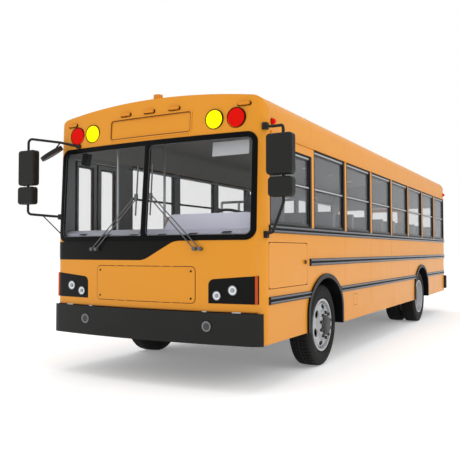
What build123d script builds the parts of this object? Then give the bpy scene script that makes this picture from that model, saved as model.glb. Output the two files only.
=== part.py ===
from build123d import *
import os
from math import asin, atan2, cos, radians, sin, sqrt

os.makedirs("parts", exist_ok=True)

# Frame: +X is the driver's (left) side, the nose faces -Y, +Z is up and the tyres stand on Z = 0.
# Every place along the bus is written as nose + distance, where nose is the front corner of the sides.
nose = -4440.0

# Body
half = 1295.0
wall = 50.0
skirt = 440.0
belt = 1420.0
sill = 1575.0
gutter = 2436.0
crown = 2883.0
panel_seam = nose + 100.0
window_seam = nose + 140.0
tail = nose + 9050.0
tail_inner = tail - 55.0
floor_top = 900.0
floor_bottom = 850.0

# Nose in plan: how far the middle leads, the radius of the bow and where the corner turns in
low_lead, low_bow, low_turn = -132.0, 7600.0, 1175.0
high_lead, high_bow, high_turn = -5.0, 14000.0, 1220.0
loft_top = 2960.0

# Roof in section
roof_bow, roof_turn = 8300.0, 1166.0

# Windscreen
screen_x, screen_top = 1228.0, 2449.0
gasket_band = 52.0
divider_half = 27.0

# Windows
post_pitch = 1121.0
post_width = 133.0
first_post = nose + 1213.0
last_post = 7
frame_band = 26.0
sash_bar = 2000.0
driver_window_top = 2345.0

# Wheels
wheel_z = 465.0
front_y = nose + 1625.0
rear_y = nose + 6710.0
tyre_radius = 465.0
tyre_half = 127.5
bead_radius = 284.0
flange_radius = 298.0
wheel_x = 1132.0
inner_twin_x = 837.0
kingpin_x = 1040.0

# Wheel arches: a three-centred arch
arch_half = 525.0
arch_top_radius = 650.0
arch_corner_radius = 310.0
arch_apex = 1006.0
flare_band = 50.0
flare_proud = 22.0
liner = 8.0

# Service door on the right side
door_front = nose + 225.0
door_rear = nose + 1010.0
door_top = 2385.0
door_bottom = 452.0
leaf_outer = 1292.0
leaf_thick = 40.0
door_gap = 7.0
leaf_width = 376.0

# Emergency door in the tail
exit_half = 370.0
exit_bottom = 905.0
exit_top = 2290.0

# Frame rails under the floor
rail_x = 430.0
rail_bottom = 600.0
rail_top = 830.0


def front_plane(y):
    """Upright plane across the bus at y; a negative extrusion runs rearwards."""
    return Plane.XZ.offset(-y)


def side_plane(x):
    """Upright plane along the bus at x; a positive extrusion runs to the left side."""
    return Plane.YZ.offset(x)


def bowed_face(across, lead, bow, turn, inset, back, start=0.0):
    """Closed face with a bowed front and two round corners, between straight sides that end at back."""
    slope = asin(turn / bow)
    corner = (across - turn) / (1 - sin(slope))
    middle = lead + bow
    corner_y = middle - bow * cos(slope) + corner * cos(slope)
    bow_in, corner_in = bow - inset, corner - inset
    shoulder = (bow_in * sin(slope), start + middle - bow_in * cos(slope))
    tilt = (slope + radians(90)) / 2
    knee = (across - corner + corner_in * sin(tilt), start + corner_y - corner_in * cos(tilt))
    edge = (across - inset, start + corner_y)
    with BuildSketch() as face:
        with BuildLine():
            ThreePointArc((-shoulder[0], shoulder[1]), (0, start + middle - bow_in), shoulder)
            ThreePointArc(shoulder, knee, edge)
            Polyline(edge, (edge[0], back), (-edge[0], back), (-edge[0], edge[1]))
            ThreePointArc((-edge[0], edge[1]), (-knee[0], knee[1]), (-shoulder[0], shoulder[1]))
        make_face()
    return face.sketch


def low_nose(inset, bottom=skirt, top=belt, back=panel_seam):
    """Upright lower nose, moved in by inset, from bottom to top."""
    with BuildPart() as block:
        with BuildSketch(Plane.XY.offset(bottom)):
            add(bowed_face(half, low_lead, low_bow, low_turn, inset, back, nose))
        extrude(amount=top - bottom)
    return block.part


def high_nose(inset, back=window_seam):
    """Leaning upper nose, moved in by inset, from the belt to above the roof."""
    with BuildPart() as block:
        with BuildSketch(Plane.XY.offset(belt)):
            add(bowed_face(half, low_lead, low_bow, low_turn, inset, back, nose))
        with BuildSketch(Plane.XY.offset(loft_top)):
            add(bowed_face(half, high_lead, high_bow, high_turn, inset, back, nose))
        loft()
    return block.part


def roof_face(inset, bottom):
    """Body section from bottom up to the crown, for an upright plane across the bus."""
    slope = asin(roof_turn / roof_bow)
    corner = (half - roof_turn) / (1 - sin(slope))
    centre = crown - roof_bow
    corner_z = centre + roof_bow * cos(slope) - corner * cos(slope)
    bow_in, corner_in = roof_bow - inset, corner - inset
    shoulder = (bow_in * sin(slope), centre + bow_in * cos(slope))
    tilt = (slope + radians(90)) / 2
    knee = (half - corner + corner_in * sin(tilt), corner_z + corner_in * cos(tilt))
    edge = (half - inset, corner_z)
    with BuildSketch() as face:
        with BuildLine():
            ThreePointArc((-shoulder[0], shoulder[1]), (0, centre + bow_in), shoulder)
            ThreePointArc(shoulder, knee, edge)
            Polyline(edge, (edge[0], bottom), (-edge[0], bottom), (-edge[0], edge[1]))
            ThreePointArc((-edge[0], edge[1]), (-knee[0], knee[1]), (-shoulder[0], shoulder[1]))
        make_face()
    return face.sketch


def nose_y(x, z):
    """Where the nose surface lies at a distance x from the middle and height z."""
    low = low_lead + low_bow - sqrt(low_bow**2 - x**2)
    high = high_lead + high_bow - sqrt(high_bow**2 - x**2)
    share = max(0.0, (z - belt) / (loft_top - belt))
    return nose + low + (high - low) * share


def arch_face(y, grow, bottom):
    """Closed wheel arch face round y for a side plane, grown by grow, legs down to bottom."""
    centre = arch_apex - arch_top_radius
    reach = arch_half - arch_corner_radius
    rise = sqrt((arch_top_radius - arch_corner_radius) ** 2 - reach**2)
    bend = atan2(rise, reach)
    top, corner = arch_top_radius + grow, arch_corner_radius + grow
    knee_z = centre + rise
    meet = (top * cos(bend), centre + top * sin(bend))
    swing = (reach + corner * cos(bend / 2), knee_z + corner * sin(bend / 2))
    foot = reach + corner
    with BuildSketch() as face:
        with BuildLine():
            Line((y - foot, bottom), (y - foot, knee_z))
            ThreePointArc((y - foot, knee_z), (y - swing[0], swing[1]), (y - meet[0], meet[1]))
            ThreePointArc((y - meet[0], meet[1]), (y, centre + top), (y + meet[0], meet[1]))
            ThreePointArc((y + meet[0], meet[1]), (y + swing[0], swing[1]), (y + foot, knee_z))
            Polyline((y + foot, knee_z), (y + foot, bottom), (y - foot, bottom))
        make_face()
    return face.sketch


def span(side, low, high):
    """Lower and upper end of a stretch from low to high on the given side of the middle."""
    return sorted((side * low, side * high))


def plate(low_y, high_y, low_z, high_z, radius=0.0, mode=Mode.ADD):
    """Rectangle between two places and two heights, with round corners where radius is given."""
    with Locations(((low_y + high_y) / 2, (low_z + high_z) / 2)):
        if radius:
            RectangleRounded(high_y - low_y, high_z - low_z, radius, mode=mode)
        else:
            Rectangle(high_y - low_y, high_z - low_z, mode=mode)


def slab(low, high, mode=Mode.ADD):
    """Box between two opposite corners."""
    size = [high[i] - low[i] for i in range(3)]
    middle = tuple((high[i] + low[i]) / 2 for i in range(3))
    with Locations(middle):
        Box(*size, mode=mode)


def rod(start, end, radius, mode=Mode.ADD):
    """Round bar from start to end."""
    along = Vector(*end) - Vector(*start)
    with Locations(Plane(origin=start, z_dir=along)):
        Cylinder(radius, along.length, align=(Align.CENTER, Align.CENTER, Align.MIN), mode=mode)


def bent_tube(points, bend, radius):
    """Tube along straight runs with round bends."""
    with BuildPart() as tube:
        with BuildLine() as route:
            FilletPolyline(*points, radius=bend)
        with BuildSketch(Plane(origin=route.line @ 0, z_dir=route.line % 0)):
            Circle(radius)
        sweep()
    return tube.part


# Lower nose panel with its corners
access_x, access_low, access_high = 608.0, 817.0, 1163.0
lamp_panel = ((752.0, 820.0), (752.0, 1046.0), (1247.0, 1085.0), (1247.0, 820.0))
lamp_panel_depth = 14.0
trim_depth = 10.0
cowl_low = 1225.0
cowl_points = ((-1330.0, cowl_low), (10.0, cowl_low), (375.0, belt - 3), (640.0, belt - 3))
bumper_low, bumper_high = 435.0, 735.0
bumper_end = nose - 10.0
before = nose - 400.0


def cowl_face():
    """Outline of the dark cowl band below the windscreen, ending in an S on the driver's side."""
    with BuildSketch() as face:
        with BuildLine():
            curve = FilletPolyline(*cowl_points, radius=250)
            Polyline(curve @ 1, (cowl_points[-1][0], belt), (cowl_points[0][0], belt), curve @ 0)
        make_face()
    return face.sketch


def lamp_panel_face():
    """Outlines of both headlamp panels, their inner top corners round."""
    with BuildSketch() as face:
        for side in (-1, 1):
            with BuildLine():
                Polyline(*[(side * x, z) for x, z in lamp_panel], close=True)
            make_face()
        inner_top = face.vertices().filter_by(lambda v: abs(v.X) < 800).group_by(Axis.Y)[-1]
        fillet(inner_top, 60)
    return face.sketch


def access_face(grow):
    """Outline of the bolted access panel."""
    with BuildSketch() as face:
        plate(-access_x - grow, access_x + grow, access_low - grow, access_high + grow, 42 + grow)
    return face.sketch


def screen_face(inset, divided=False):
    """Windscreen outline, moved in by inset, with the divider's width left out where divided."""
    with BuildSketch() as face:
        plate(-screen_x + inset, screen_x - inset, belt + inset, screen_top - inset, 105 - inset)
        if divided:
            Rectangle(2 * divider_half, 3 * screen_top, mode=Mode.SUBTRACT)
    return face.sketch


def low_skin(proud, depth, shape, back=nose + 90):
    """Piece of the lower nose's skin, from proud outside it to depth inside, cut to a shape seen from the front."""
    with BuildPart() as piece:
        add(low_nose(-proud))
        add(low_nose(depth, back=panel_seam + 60), mode=Mode.SUBTRACT)
        with BuildSketch(front_plane(before)):
            add(shape)
        extrude(amount=-(back - before), mode=Mode.INTERSECT)
    return piece.part


def high_skin(proud, depth, shape, back=nose + 90):
    """Piece of the upper nose's skin, from proud outside it to depth inside, cut to a shape seen from the front."""
    with BuildPart() as piece:
        add(high_nose(-proud))
        add(high_nose(depth, window_seam + 60), mode=Mode.SUBTRACT)
        with BuildSketch(front_plane(before)):
            add(shape)
        extrude(amount=-(back - before), mode=Mode.INTERSECT)
    return piece.part


def nose_body(inset, back):
    """Upper nose closed by the roof, moved in by inset."""
    with BuildPart() as body:
        add(high_nose(inset, back))
        with BuildSketch(front_plane(before)):
            add(roof_face(inset, belt - 20))
        extrude(amount=-1000, mode=Mode.INTERSECT)
    return body.part


with BuildPart() as bumper_groove:
    add(low_nose(-5, bumper_high, bumper_high + 15))
    add(low_nose(12, bumper_high, bumper_high + 15, panel_seam + 60), mode=Mode.SUBTRACT)
    slab((-half - 20, bumper_end, skirt), (half + 20, panel_seam + 80, belt), mode=Mode.SUBTRACT)

with BuildPart() as front_panel:
    add(low_nose(0))
    add(low_nose(wall, back=panel_seam + 60), mode=Mode.SUBTRACT)
    add(low_skin(5, 8, access_face(3)), mode=Mode.SUBTRACT)
    add(low_skin(5, lamp_panel_depth, lamp_panel_face()), mode=Mode.SUBTRACT)
    add(low_skin(5, trim_depth, cowl_face()), mode=Mode.SUBTRACT)
    add(bumper_groove.part, mode=Mode.SUBTRACT)
front_panel.part.label = "front_panel"
export_step(front_panel.part, "parts/front_panel.step")

with BuildPart() as access_panel:
    add(low_skin(4, 8, access_face(0)))
access_panel.part.label = "access_panel"
export_step(access_panel.part, "parts/access_panel.step")

headlamps = ((1003.0, 947.0, 47.0), (842.0, 894.0, 44.0))
fog_lamp = (753.0, 604.0, 48.0)

with BuildPart() as front_trim:
    add(low_skin(2, lamp_panel_depth, lamp_panel_face(), nose + 30))
    for x, z, radius in headlamps:
        for side in (-1, 1):
            rod((side * x, before, z), (side * x, nose + 100, z), radius + 2, mode=Mode.SUBTRACT)
    add(low_skin(2, trim_depth, cowl_face()))
front_trim.part.label = "front_trim"
export_step(front_trim.part, "parts/front_trim.step")

with BuildPart() as rear_bar:
    slab((-1272, tail, 490), (1272, tail + 72, 780))
    fillet(rear_bar.edges().filter_by(Axis.Z).group_by(Axis.Y)[-1], 50)

with BuildPart() as bumpers:
    add(low_nose(-38, bumper_low, bumper_high))
    add(low_nose(0, bumper_low, bumper_high, panel_seam + 60), mode=Mode.SUBTRACT)
    slab((-half - 60, bumper_end, 400), (half + 60, nose + 200, 800), mode=Mode.SUBTRACT)
    for side in (-1, 1):
        place = side * fog_lamp[0]
        rod((place, before, fog_lamp[1]), (place, nose_y(place, 600) - 8, fog_lamp[1]),
            fog_lamp[2] + 2, mode=Mode.SUBTRACT)
    add(rear_bar.part)
bumpers.part.label = "bumpers"
export_step(bumpers.part, "parts/bumpers.step")

# Upper nose with the header and windscreen posts
sign_half, sign_low, sign_high, sign_depth = 500.0, 2501.0, 2700.0, 15.0
nose_lean = (high_lead - low_lead) / (loft_top - belt)
sign_middle = (sign_low + sign_high) / 2
sign_plane = Plane(origin=(0, nose_y(0, sign_middle) + sign_depth, sign_middle),
                   x_dir=(1, 0, 0), z_dir=(0, -1, nose_lean))

with BuildPart() as front_header:
    add(nose_body(0, window_seam))
    add(nose_body(wall, window_seam + 60), mode=Mode.SUBTRACT)
    with BuildSketch(front_plane(before)):
        add(screen_face(0))
    extrude(amount=-(window_seam - before - 3), mode=Mode.SUBTRACT)
    with BuildSketch(sign_plane):
        RectangleRounded(2 * sign_half, sign_high - sign_low, 28)
    extrude(amount=120, mode=Mode.SUBTRACT)
    slab((-half - 20, panel_seam, belt - 20), (half + 20, window_seam + 20, sill), mode=Mode.SUBTRACT)
front_header.part.label = "front_header"
export_step(front_header.part, "parts/front_header.step")

with BuildPart() as windscreen_gasket:
    add(high_skin(9, 30, screen_face(0)))
    with BuildSketch(front_plane(before)):
        add(screen_face(gasket_band, divided=True))
    extrude(amount=-700, mode=Mode.SUBTRACT)
windscreen_gasket.part.label = "windscreen_gasket"
export_step(windscreen_gasket.part, "parts/windscreen_gasket.step")

with BuildPart() as windscreen_glass:
    add(high_skin(-6, 12, screen_face(gasket_band, divided=True)))
windscreen_glass.part.label = "windscreen_glass"
export_step(windscreen_glass.part, "parts/windscreen_glass.step")

# Roof
gutter_lip = 12.0

with BuildPart() as roof:
    with BuildSketch(front_plane(window_seam)):
        add(roof_face(0, gutter))
        add(roof_face(wall, gutter), mode=Mode.SUBTRACT)
    extrude(amount=-(tail_inner - window_seam))
    for side in (-1, 1):
        low, high = span(side, half, half + gutter_lip)
        slab((low, window_seam, gutter), (high, tail_inner, gutter + 12))
roof.part.label = "roof"
export_step(roof.part, "parts/roof.step")

# Rear wall with the emergency doorway and two fixed windows
rear_window_x = (470.0, 1110.0)
rear_window_z = (1640.0, 2260.0)

with BuildPart() as rear_wall:
    with BuildSketch(front_plane(tail_inner)):
        add(roof_face(0, skirt))
    extrude(amount=-(tail - tail_inner))
    fillet(rear_wall.faces().sort_by(Axis.Y)[-1].edges().filter_by(lambda e: e.center().Z > skirt + 10), 22)
    with BuildSketch(front_plane(tail_inner - 50)):
        plate(-exit_half, exit_half, exit_bottom, exit_top, 45)
        for side in (-1, 1):
            low, high = span(side, *rear_window_x)
            plate(low, high, *rear_window_z, 45)
    extrude(amount=-200, mode=Mode.SUBTRACT)
rear_wall.part.label = "rear_wall"
export_step(rear_wall.part, "parts/rear_wall.step")

# Side panels from the skirt to the window sill
hatch_y = (nose + 106.0, nose + 1054.0)
hatch_z = (960.0, 1395.0)
hatch_gap = 6.0
flap_y = (nose + 2637.0, nose + 2795.0)
flap_z = (614.0, 758.0)
flap_gap = 5.0
flap_thick = 18.0
flap_pocket = 30.0

with BuildPart() as left_side_panel:
    with BuildSketch(side_plane(half - wall)):
        plate(panel_seam, tail_inner, skirt, sill)
        for arch in (front_y, rear_y):
            add(arch_face(arch, liner, skirt - 10), mode=Mode.SUBTRACT)
        plate(panel_seam - 50, hatch_y[1] + hatch_gap, hatch_z[0] - hatch_gap, hatch_z[1] + hatch_gap,
              mode=Mode.SUBTRACT)
    extrude(amount=wall)
    with BuildSketch(side_plane(half)):
        plate(flap_y[0] - flap_gap, flap_y[1] + flap_gap, flap_z[0] - flap_gap, flap_z[1] + flap_gap, 14)
    extrude(amount=-flap_pocket, mode=Mode.SUBTRACT)
left_side_panel.part.label = "left_side_panel"
export_step(left_side_panel.part, "parts/left_side_panel.step")

with BuildPart() as right_side_panel:
    with BuildSketch(side_plane(-half)):
        plate(panel_seam, door_front, skirt, sill)
        plate(door_rear, tail_inner, skirt, sill)
        for arch in (front_y, rear_y):
            add(arch_face(arch, liner, skirt - 10), mode=Mode.SUBTRACT)
    extrude(amount=wall)
right_side_panel.part.label = "right_side_panel"
export_step(right_side_panel.part, "parts/right_side_panel.step")

# Window posts: the table's columns are side, front, rear, foot of each piece
posts = [first_post + post_pitch * i for i in range(last_post)]

with BuildPart() as window_posts:
    for side in (-1, 1):
        with BuildSketch(side_plane(half - wall if side > 0 else -half)):
            for post in posts:
                plate(post - post_width / 2, post + post_width / 2, sill, gutter)
            if side > 0:
                plate(window_seam, posts[0] - post_width / 2, driver_window_top, gutter)
            else:
                plate(window_seam, door_front, sill, gutter)
                plate(door_front, door_rear, door_top, gutter)
                plate(door_rear, posts[0] - post_width / 2, sill, gutter)
        extrude(amount=wall)
window_posts.part.label = "window_posts"
export_step(window_posts.part, "parts/window_posts.step")

# Window bays: front, rear and top of each opening, by side
bay_edges = [(post + post_width / 2, post + post_pitch - post_width / 2) for post in posts]
bay_edges[-1] = (bay_edges[-1][0], tail_inner)
bays = {1: [(window_seam, posts[0] - post_width / 2, driver_window_top)], -1: []}
for side in bays:
    bays[side] += [(low, high, gutter) for low, high in bay_edges]
frame_depth = (half - 42.0, half - 8.0)
glass_depth = (half - 30.0, half - 25.0)

with BuildPart() as window_frames:
    for side, openings in bays.items():
        start, end = span(side, *frame_depth)
        with BuildSketch(side_plane(start)):
            for low, high, top in openings:
                plate(low, high, sill, top)
                plate(low + frame_band, high - frame_band, sill + frame_band, sash_bar - 13, 16,
                      mode=Mode.SUBTRACT)
                plate(low + frame_band, high - frame_band, sash_bar + 13, top - 2 * frame_band, 16,
                      mode=Mode.SUBTRACT)
        extrude(amount=end - start)
window_frames.part.label = "window_frames"
export_step(window_frames.part, "parts/window_frames.step")

with BuildPart() as side_glass:
    for side, openings in bays.items():
        start, end = span(side, *glass_depth)
        with BuildSketch(side_plane(start)):
            for low, high, top in openings:
                plate(low + frame_band, high - frame_band, sill + frame_band, sash_bar - 13, 16)
                plate(low + frame_band, high - frame_band, sash_bar + 13, top - 2 * frame_band, 16)
        extrude(amount=end - start)
    with BuildSketch(front_plane(tail - 30)):
        for side in (-1, 1):
            low, high = span(side, *rear_window_x)
            plate(low, high, *rear_window_z, 45)
    extrude(amount=-6)
side_glass.part.label = "side_glass"
export_step(side_glass.part, "parts/side_glass.step")

# Rub rails: the table's columns are bottom, top, front end on the left, front end on the right
rail_proud = 20.0
rub_rails_table = (
    (1488.0, 1562.0, nose + 104, door_rear + 10),
    (1152.0, 1232.0, nose + 1128, door_rear + 10),
    (808.0, 884.0, nose + 104, front_y + 300),
)


def rail_face(bottom, top):
    """Section of a rub rail standing out of the left side: a plate with two round ribs."""
    middle = (bottom + top) / 2
    groove = half + 7
    with BuildSketch() as face:
        with BuildLine():
            Polyline((groove, middle - 5), (groove, middle + 5))
            ThreePointArc((groove, middle + 5), (half + rail_proud, (middle + top) / 2 + 2), (half + 5, top))
            Polyline((half + 5, top), (half, top), (half, bottom), (half + 5, bottom))
            ThreePointArc((half + 5, bottom), (half + rail_proud, (middle + bottom) / 2 - 2), (groove, middle - 5))
        make_face()
    return face.sketch


with BuildPart() as rub_rails:
    for bottom, top, left_start, right_start in rub_rails_table:
        for side, start in ((1, left_start), (-1, right_start)):
            with BuildSketch(front_plane(start)):
                add(rail_face(bottom, top) if side > 0 else mirror(rail_face(bottom, top), about=Plane.YZ))
            extrude(amount=-(tail - 25 - start))
    for arch in (front_y, rear_y):
        with BuildSketch(side_plane(-half - 100)):
            add(arch_face(arch, flare_band, skirt - 10))
        extrude(amount=2 * half + 200, mode=Mode.SUBTRACT)
rub_rails.part.label = "rub_rails"
export_step(rub_rails.part, "parts/rub_rails.step")

# Wheel arches: a flare on the side panel and a tub behind it, open below for the axle
tub_inner = {front_y: 690.0, rear_y: 640.0}
tub_wall_low = 600.0

with BuildPart() as wheel_arches:
    for arch, inner in tub_inner.items():
        for side in (-1, 1):
            flare_low, flare_high = span(side, half, half + flare_proud)
            with BuildSketch(side_plane(flare_low)):
                add(arch_face(arch, flare_band, skirt))
                add(arch_face(arch, 0, skirt - 10), mode=Mode.SUBTRACT)
            extrude(amount=flare_high - flare_low)
            tub_low, tub_high = span(side, inner, half)
            with BuildSketch(side_plane(tub_low)):
                add(arch_face(arch, liner, skirt))
                add(arch_face(arch, 0, skirt - 10), mode=Mode.SUBTRACT)
            extrude(amount=tub_high - tub_low)
            wall_low, wall_high = span(side, inner, inner + liner)
            with BuildSketch(side_plane(wall_low)):
                add(arch_face(arch, liner, tub_wall_low))
            extrude(amount=wall_high - wall_low)
wheel_arches.part.label = "wheel_arches"
export_step(wheel_arches.part, "parts/wheel_arches.step")

# Floor, cut out over the wheels and at the service door
step_edge = (-1245.0, -960.0, -640.0)
step_top = (500.0, 700.0, 900.0)
step_thick, cheek_thick = 30.0, 12.0
well_front, well_rear = door_front - 5, door_rear + 5

with BuildPart() as floor:
    with BuildSketch(Plane.XY.offset(floor_bottom)):
        add(bowed_face(half, low_lead, low_bow, low_turn, wall, tail_inner, nose))
    extrude(amount=floor_top - floor_bottom)
    for arch in (front_y, rear_y):
        for side in (-1, 1):
            start, end = span(side, tub_inner[arch], half)
            with BuildSketch(side_plane(start)):
                add(arch_face(arch, liner, tub_wall_low))
            extrude(amount=end - start, mode=Mode.SUBTRACT)
    slab((-half, well_front - cheek_thick, floor_bottom - 5), (step_edge[2], well_rear + cheek_thick, floor_top + 5),
         mode=Mode.SUBTRACT)
floor.part.label = "floor"
export_step(floor.part, "parts/floor.step")

# Entrance steps between two cheeks
with BuildPart() as entrance_steps:
    for i in (0, 1):
        slab((step_edge[i] - (step_thick if i else 0), well_front, step_top[i] - step_thick),
             (step_edge[i + 1], well_rear, step_top[i]))
        slab((step_edge[i + 1] - step_thick, well_front, step_top[i] - step_thick),
             (step_edge[i + 1], well_rear, step_top[i + 1]))
    for y in (well_front - cheek_thick, well_rear):
        slab((step_edge[0], y, step_top[0] - step_thick), (step_edge[2], y + cheek_thick, floor_top))
entrance_steps.part.label = "entrance_steps"
export_step(entrance_steps.part, "parts/entrance_steps.step")

# Ladder frame under the floor
rail_flange, rail_web = 75.0, 9.0
outrigger_y = [nose + 560, nose + 2330, nose + 3455, nose + 4576, nose + 5697, nose + 7700, nose + 8800]
cross_y = [nose + 20, nose + 1000, nose + 2300, nose + 4300, nose + 5600, nose + 7500, nose + 8950]

with BuildPart() as chassis_frame:
    for side in (-1, 1):
        web_low, web_high = span(side, rail_x + rail_flange / 2 - rail_web, rail_x + rail_flange / 2)
        low, high = span(side, rail_x - rail_flange / 2, rail_x + rail_flange / 2)
        slab((web_low, nose - 60, rail_bottom), (web_high, tail_inner, rail_top))
        slab((low, nose - 60, rail_bottom), (high, tail_inner, rail_bottom + rail_web))
        slab((low, nose - 60, rail_top - rail_web), (high, tail_inner, rail_top))
    for y in cross_y:
        slab((-rail_x - 30, y - 30, 660), (rail_x + 30, y + 30, 780))
    for y in outrigger_y:
        reach_left = -half + wall if y > door_rear else step_edge[2]
        slab((reach_left, y - 30, 790), (half - wall, y + 30, floor_bottom))
chassis_frame.part.label = "chassis_frame"
export_step(chassis_frame.part, "parts/chassis_frame.step")

# Battery packs hung between the axles, three a side
pack_y = [nose + 2400 + 1200 * i for i in range(3)]

with BuildPart() as battery_packs:
    for side in (-1, 1):
        low, high = span(side, rail_x + rail_flange / 2, 1190)
        for y in pack_y:
            slab((low, y, 470), (high, y + 1080, 785))
    fillet(battery_packs.edges().filter_by(Axis.Y), 18)
battery_packs.part.label = "battery_packs"
export_step(battery_packs.part, "parts/battery_packs.step")


def spring_face(y, low, eye):
    """Curved leaf pack between the frame rail and an axle, seen from the side."""
    with BuildSketch() as face:
        with BuildLine():
            ThreePointArc((y - eye, rail_bottom - 40), (y, low), (y + eye, rail_bottom - 40))
            Line((y + eye, rail_bottom - 40), (y + eye, rail_bottom))
            ThreePointArc((y + eye, rail_bottom), (y, low + 45), (y - eye, rail_bottom))
            Line((y - eye, rail_bottom), (y - eye, rail_bottom - 40))
        make_face()
    return face.sketch


# Front axle beam with kingpin eyes and leaf springs
beam_low, beam_high = 400.0, 495.0
eye_radius, pin_radius = 46.0, 20.0

with BuildPart() as front_axle:
    with BuildSketch(side_plane(-kingpin_x)):
        with Locations((front_y, (beam_low + beam_high) / 2)):
            Rectangle(90, beam_high - beam_low)
            for side in (-1, 1):
                with Locations((side * 35, 0)):
                    Rectangle(40, 55, mode=Mode.SUBTRACT)
    extrude(amount=2 * kingpin_x)
    for side in (-1, 1):
        rod((side * kingpin_x, front_y, beam_low), (side * kingpin_x, front_y, beam_high), eye_radius)
        rod((side * kingpin_x, front_y, beam_low - 5), (side * kingpin_x, front_y, beam_high + 5), pin_radius,
            mode=Mode.SUBTRACT)
        with BuildSketch(side_plane(side * rail_x - 37)):
            add(spring_face(front_y, beam_high - 8, 620))
        extrude(amount=74)
front_axle.part.label = "front_axle"
export_step(front_axle.part, "parts/front_axle.step")

# Rear axle with its differential, drive motor and leaf springs
spindle_radius = 45.0
bore_clearance = 0.05
tube_radius = 75.0

with BuildPart() as rear_axle:
    rod((-700, rear_y, wheel_z), (700, rear_y, wheel_z), tube_radius)
    with Locations(Plane(origin=(0, rear_y, wheel_z))):
        Sphere(205)
    for side in (-1, 1):
        rod((side * 685, rear_y, wheel_z), (side * 703, rear_y, wheel_z), 190)
        rod((side * 700, rear_y, wheel_z), (side * 1120, rear_y, wheel_z), spindle_radius - bore_clearance)
        with BuildSketch(side_plane(side * rail_x - 37)):
            add(spring_face(rear_y, wheel_z + tube_radius - 10, 700))
        extrude(amount=74)
    rod((0, rear_y - 150, wheel_z), (0, rear_y - 420, wheel_z + 5), 60)
    rod((0, rear_y - 400, wheel_z + 5), (0, rear_y - 1000, wheel_z + 10), 160)
rear_axle.part.label = "rear_axle"
export_step(rear_axle.part, "parts/rear_axle.step")

# Steering knuckles: ears round the axle eye, kingpin, back plate, spindle and steering arm
ear_gap = 1.0
ear_thick = 26.0
knuckle_plate_x = 1092.0
knuckle_plate_thick = 12.0
arm_back = 210.0
arm_end_x = 985.0
arm_low, arm_high = 366.0, 386.0


def knuckle(side):
    """Front steering knuckle on the given side."""
    low_ear, high_ear = beam_low - ear_gap, beam_high + ear_gap
    plate_end = knuckle_plate_x + knuckle_plate_thick
    pin = (side * kingpin_x, front_y)
    with BuildPart() as piece:
        for start in (low_ear - ear_thick, high_ear):
            rod((*pin, start), (*pin, start + ear_thick), 44)
            low, high = span(side, kingpin_x, plate_end)
            slab((low, front_y - 44, start), (high, front_y + 44, start + ear_thick))
        low, high = span(side, kingpin_x + eye_radius + 6, plate_end)
        slab((low, front_y - 44, low_ear - ear_thick), (high, front_y + 44, high_ear + ear_thick))
        rod((*pin, low_ear - ear_thick), (*pin, high_ear + ear_thick), pin_radius - bore_clearance)
        hub_centre = (side * knuckle_plate_x, front_y, wheel_z)
        rod(hub_centre, (side * plate_end, front_y, wheel_z), 190)
        rod(hub_centre, (side * 1240, front_y, wheel_z), 35 - bore_clearance)
        arm_low_x, arm_high_x = span(side, arm_end_x - 25, kingpin_x + 30)
        slab((arm_low_x, front_y + 30, arm_low), (arm_high_x, front_y + arm_back + 20, arm_high))
    return piece.part


for side, name in ((1, "left_knuckle"), (-1, "right_knuckle")):
    with BuildPart() as front_knuckle:
        add(knuckle(side))
    front_knuckle.part.label = name
    export_step(front_knuckle.part, f"parts/{name}.step")

# Tie rod across the steering arms, just below them
tie_rod_z = 344.0

with BuildPart() as tie_rod:
    rod((-arm_end_x, front_y + arm_back, tie_rod_z), (arm_end_x, front_y + arm_back, tie_rod_z), 16)
tie_rod.part.label = "tie_rod"
export_step(tie_rod.part, "parts/tie_rod.step")

# Wheels: a rim, a disc with hand holes and a hub, turned about the axle
hand_holes = 10
hand_hole_pitch = 213.0
stud_circle = 142.5
rim_half = 118.0


def wheel_plane(x, y):
    """Plane through a wheel's centre whose local X runs along the axle."""
    return Plane(origin=(x, y, wheel_z), x_dir=(1, 0, 0), z_dir=(0, 0, 1))


def rim_section(side, middle):
    """Half section of a rim's barrel and flanges, centred at middle along the axle."""
    well = 262.0
    points = ((-rim_half, flange_radius), (-rim_half + 14, flange_radius), (-rim_half + 16, bead_radius),
              (-40, bead_radius - 4), (-30, well), (30, well), (40, bead_radius - 4),
              (rim_half - 16, bead_radius), (rim_half - 14, flange_radius), (rim_half, flange_radius),
              (rim_half, flange_radius - 20), (50, bead_radius - 20), (38, well - 13), (-38, well - 13),
              (-50, bead_radius - 20), (-rim_half, flange_radius - 20))
    return [(side * (middle + x), r) for x, r in points]


def turned(piece_points, plane):
    """Solid turned about the axle from closed half sections."""
    with BuildPart() as piece:
        for points in piece_points:
            with BuildSketch(plane):
                with BuildLine():
                    Polyline(*points, close=True)
                make_face()
            revolve(axis=Axis(plane.origin, (1, 0, 0)))
    return piece.part


front_disc = ((56, 268), (76, 268), (104, 238), (120, 178), (126, 92), (174, 86), (182, 62), (182, 0),
              (160, 0), (160, 35), (-22, 35), (-22, 88), (100, 88), (108, 170), (92, 228), (66, 250), (56, 250))
outer_dish = ((-92, 268), (-78, 268), (-118, 226), (-132, 176), (-132, 110), (-30, 110), (-20, 100), (-20, 78),
              (34, 78), (40, 60), (40, 0), (24, 0), (24, 45), (-252, 45), (-252, 112), (-159, 112), (-159, 176),
              (-172, 226), (-214, 268), (-200, 268), (-160, 232), (-147, 178), (-145.5, 176), (-144, 178),
              (-132, 228))


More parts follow.
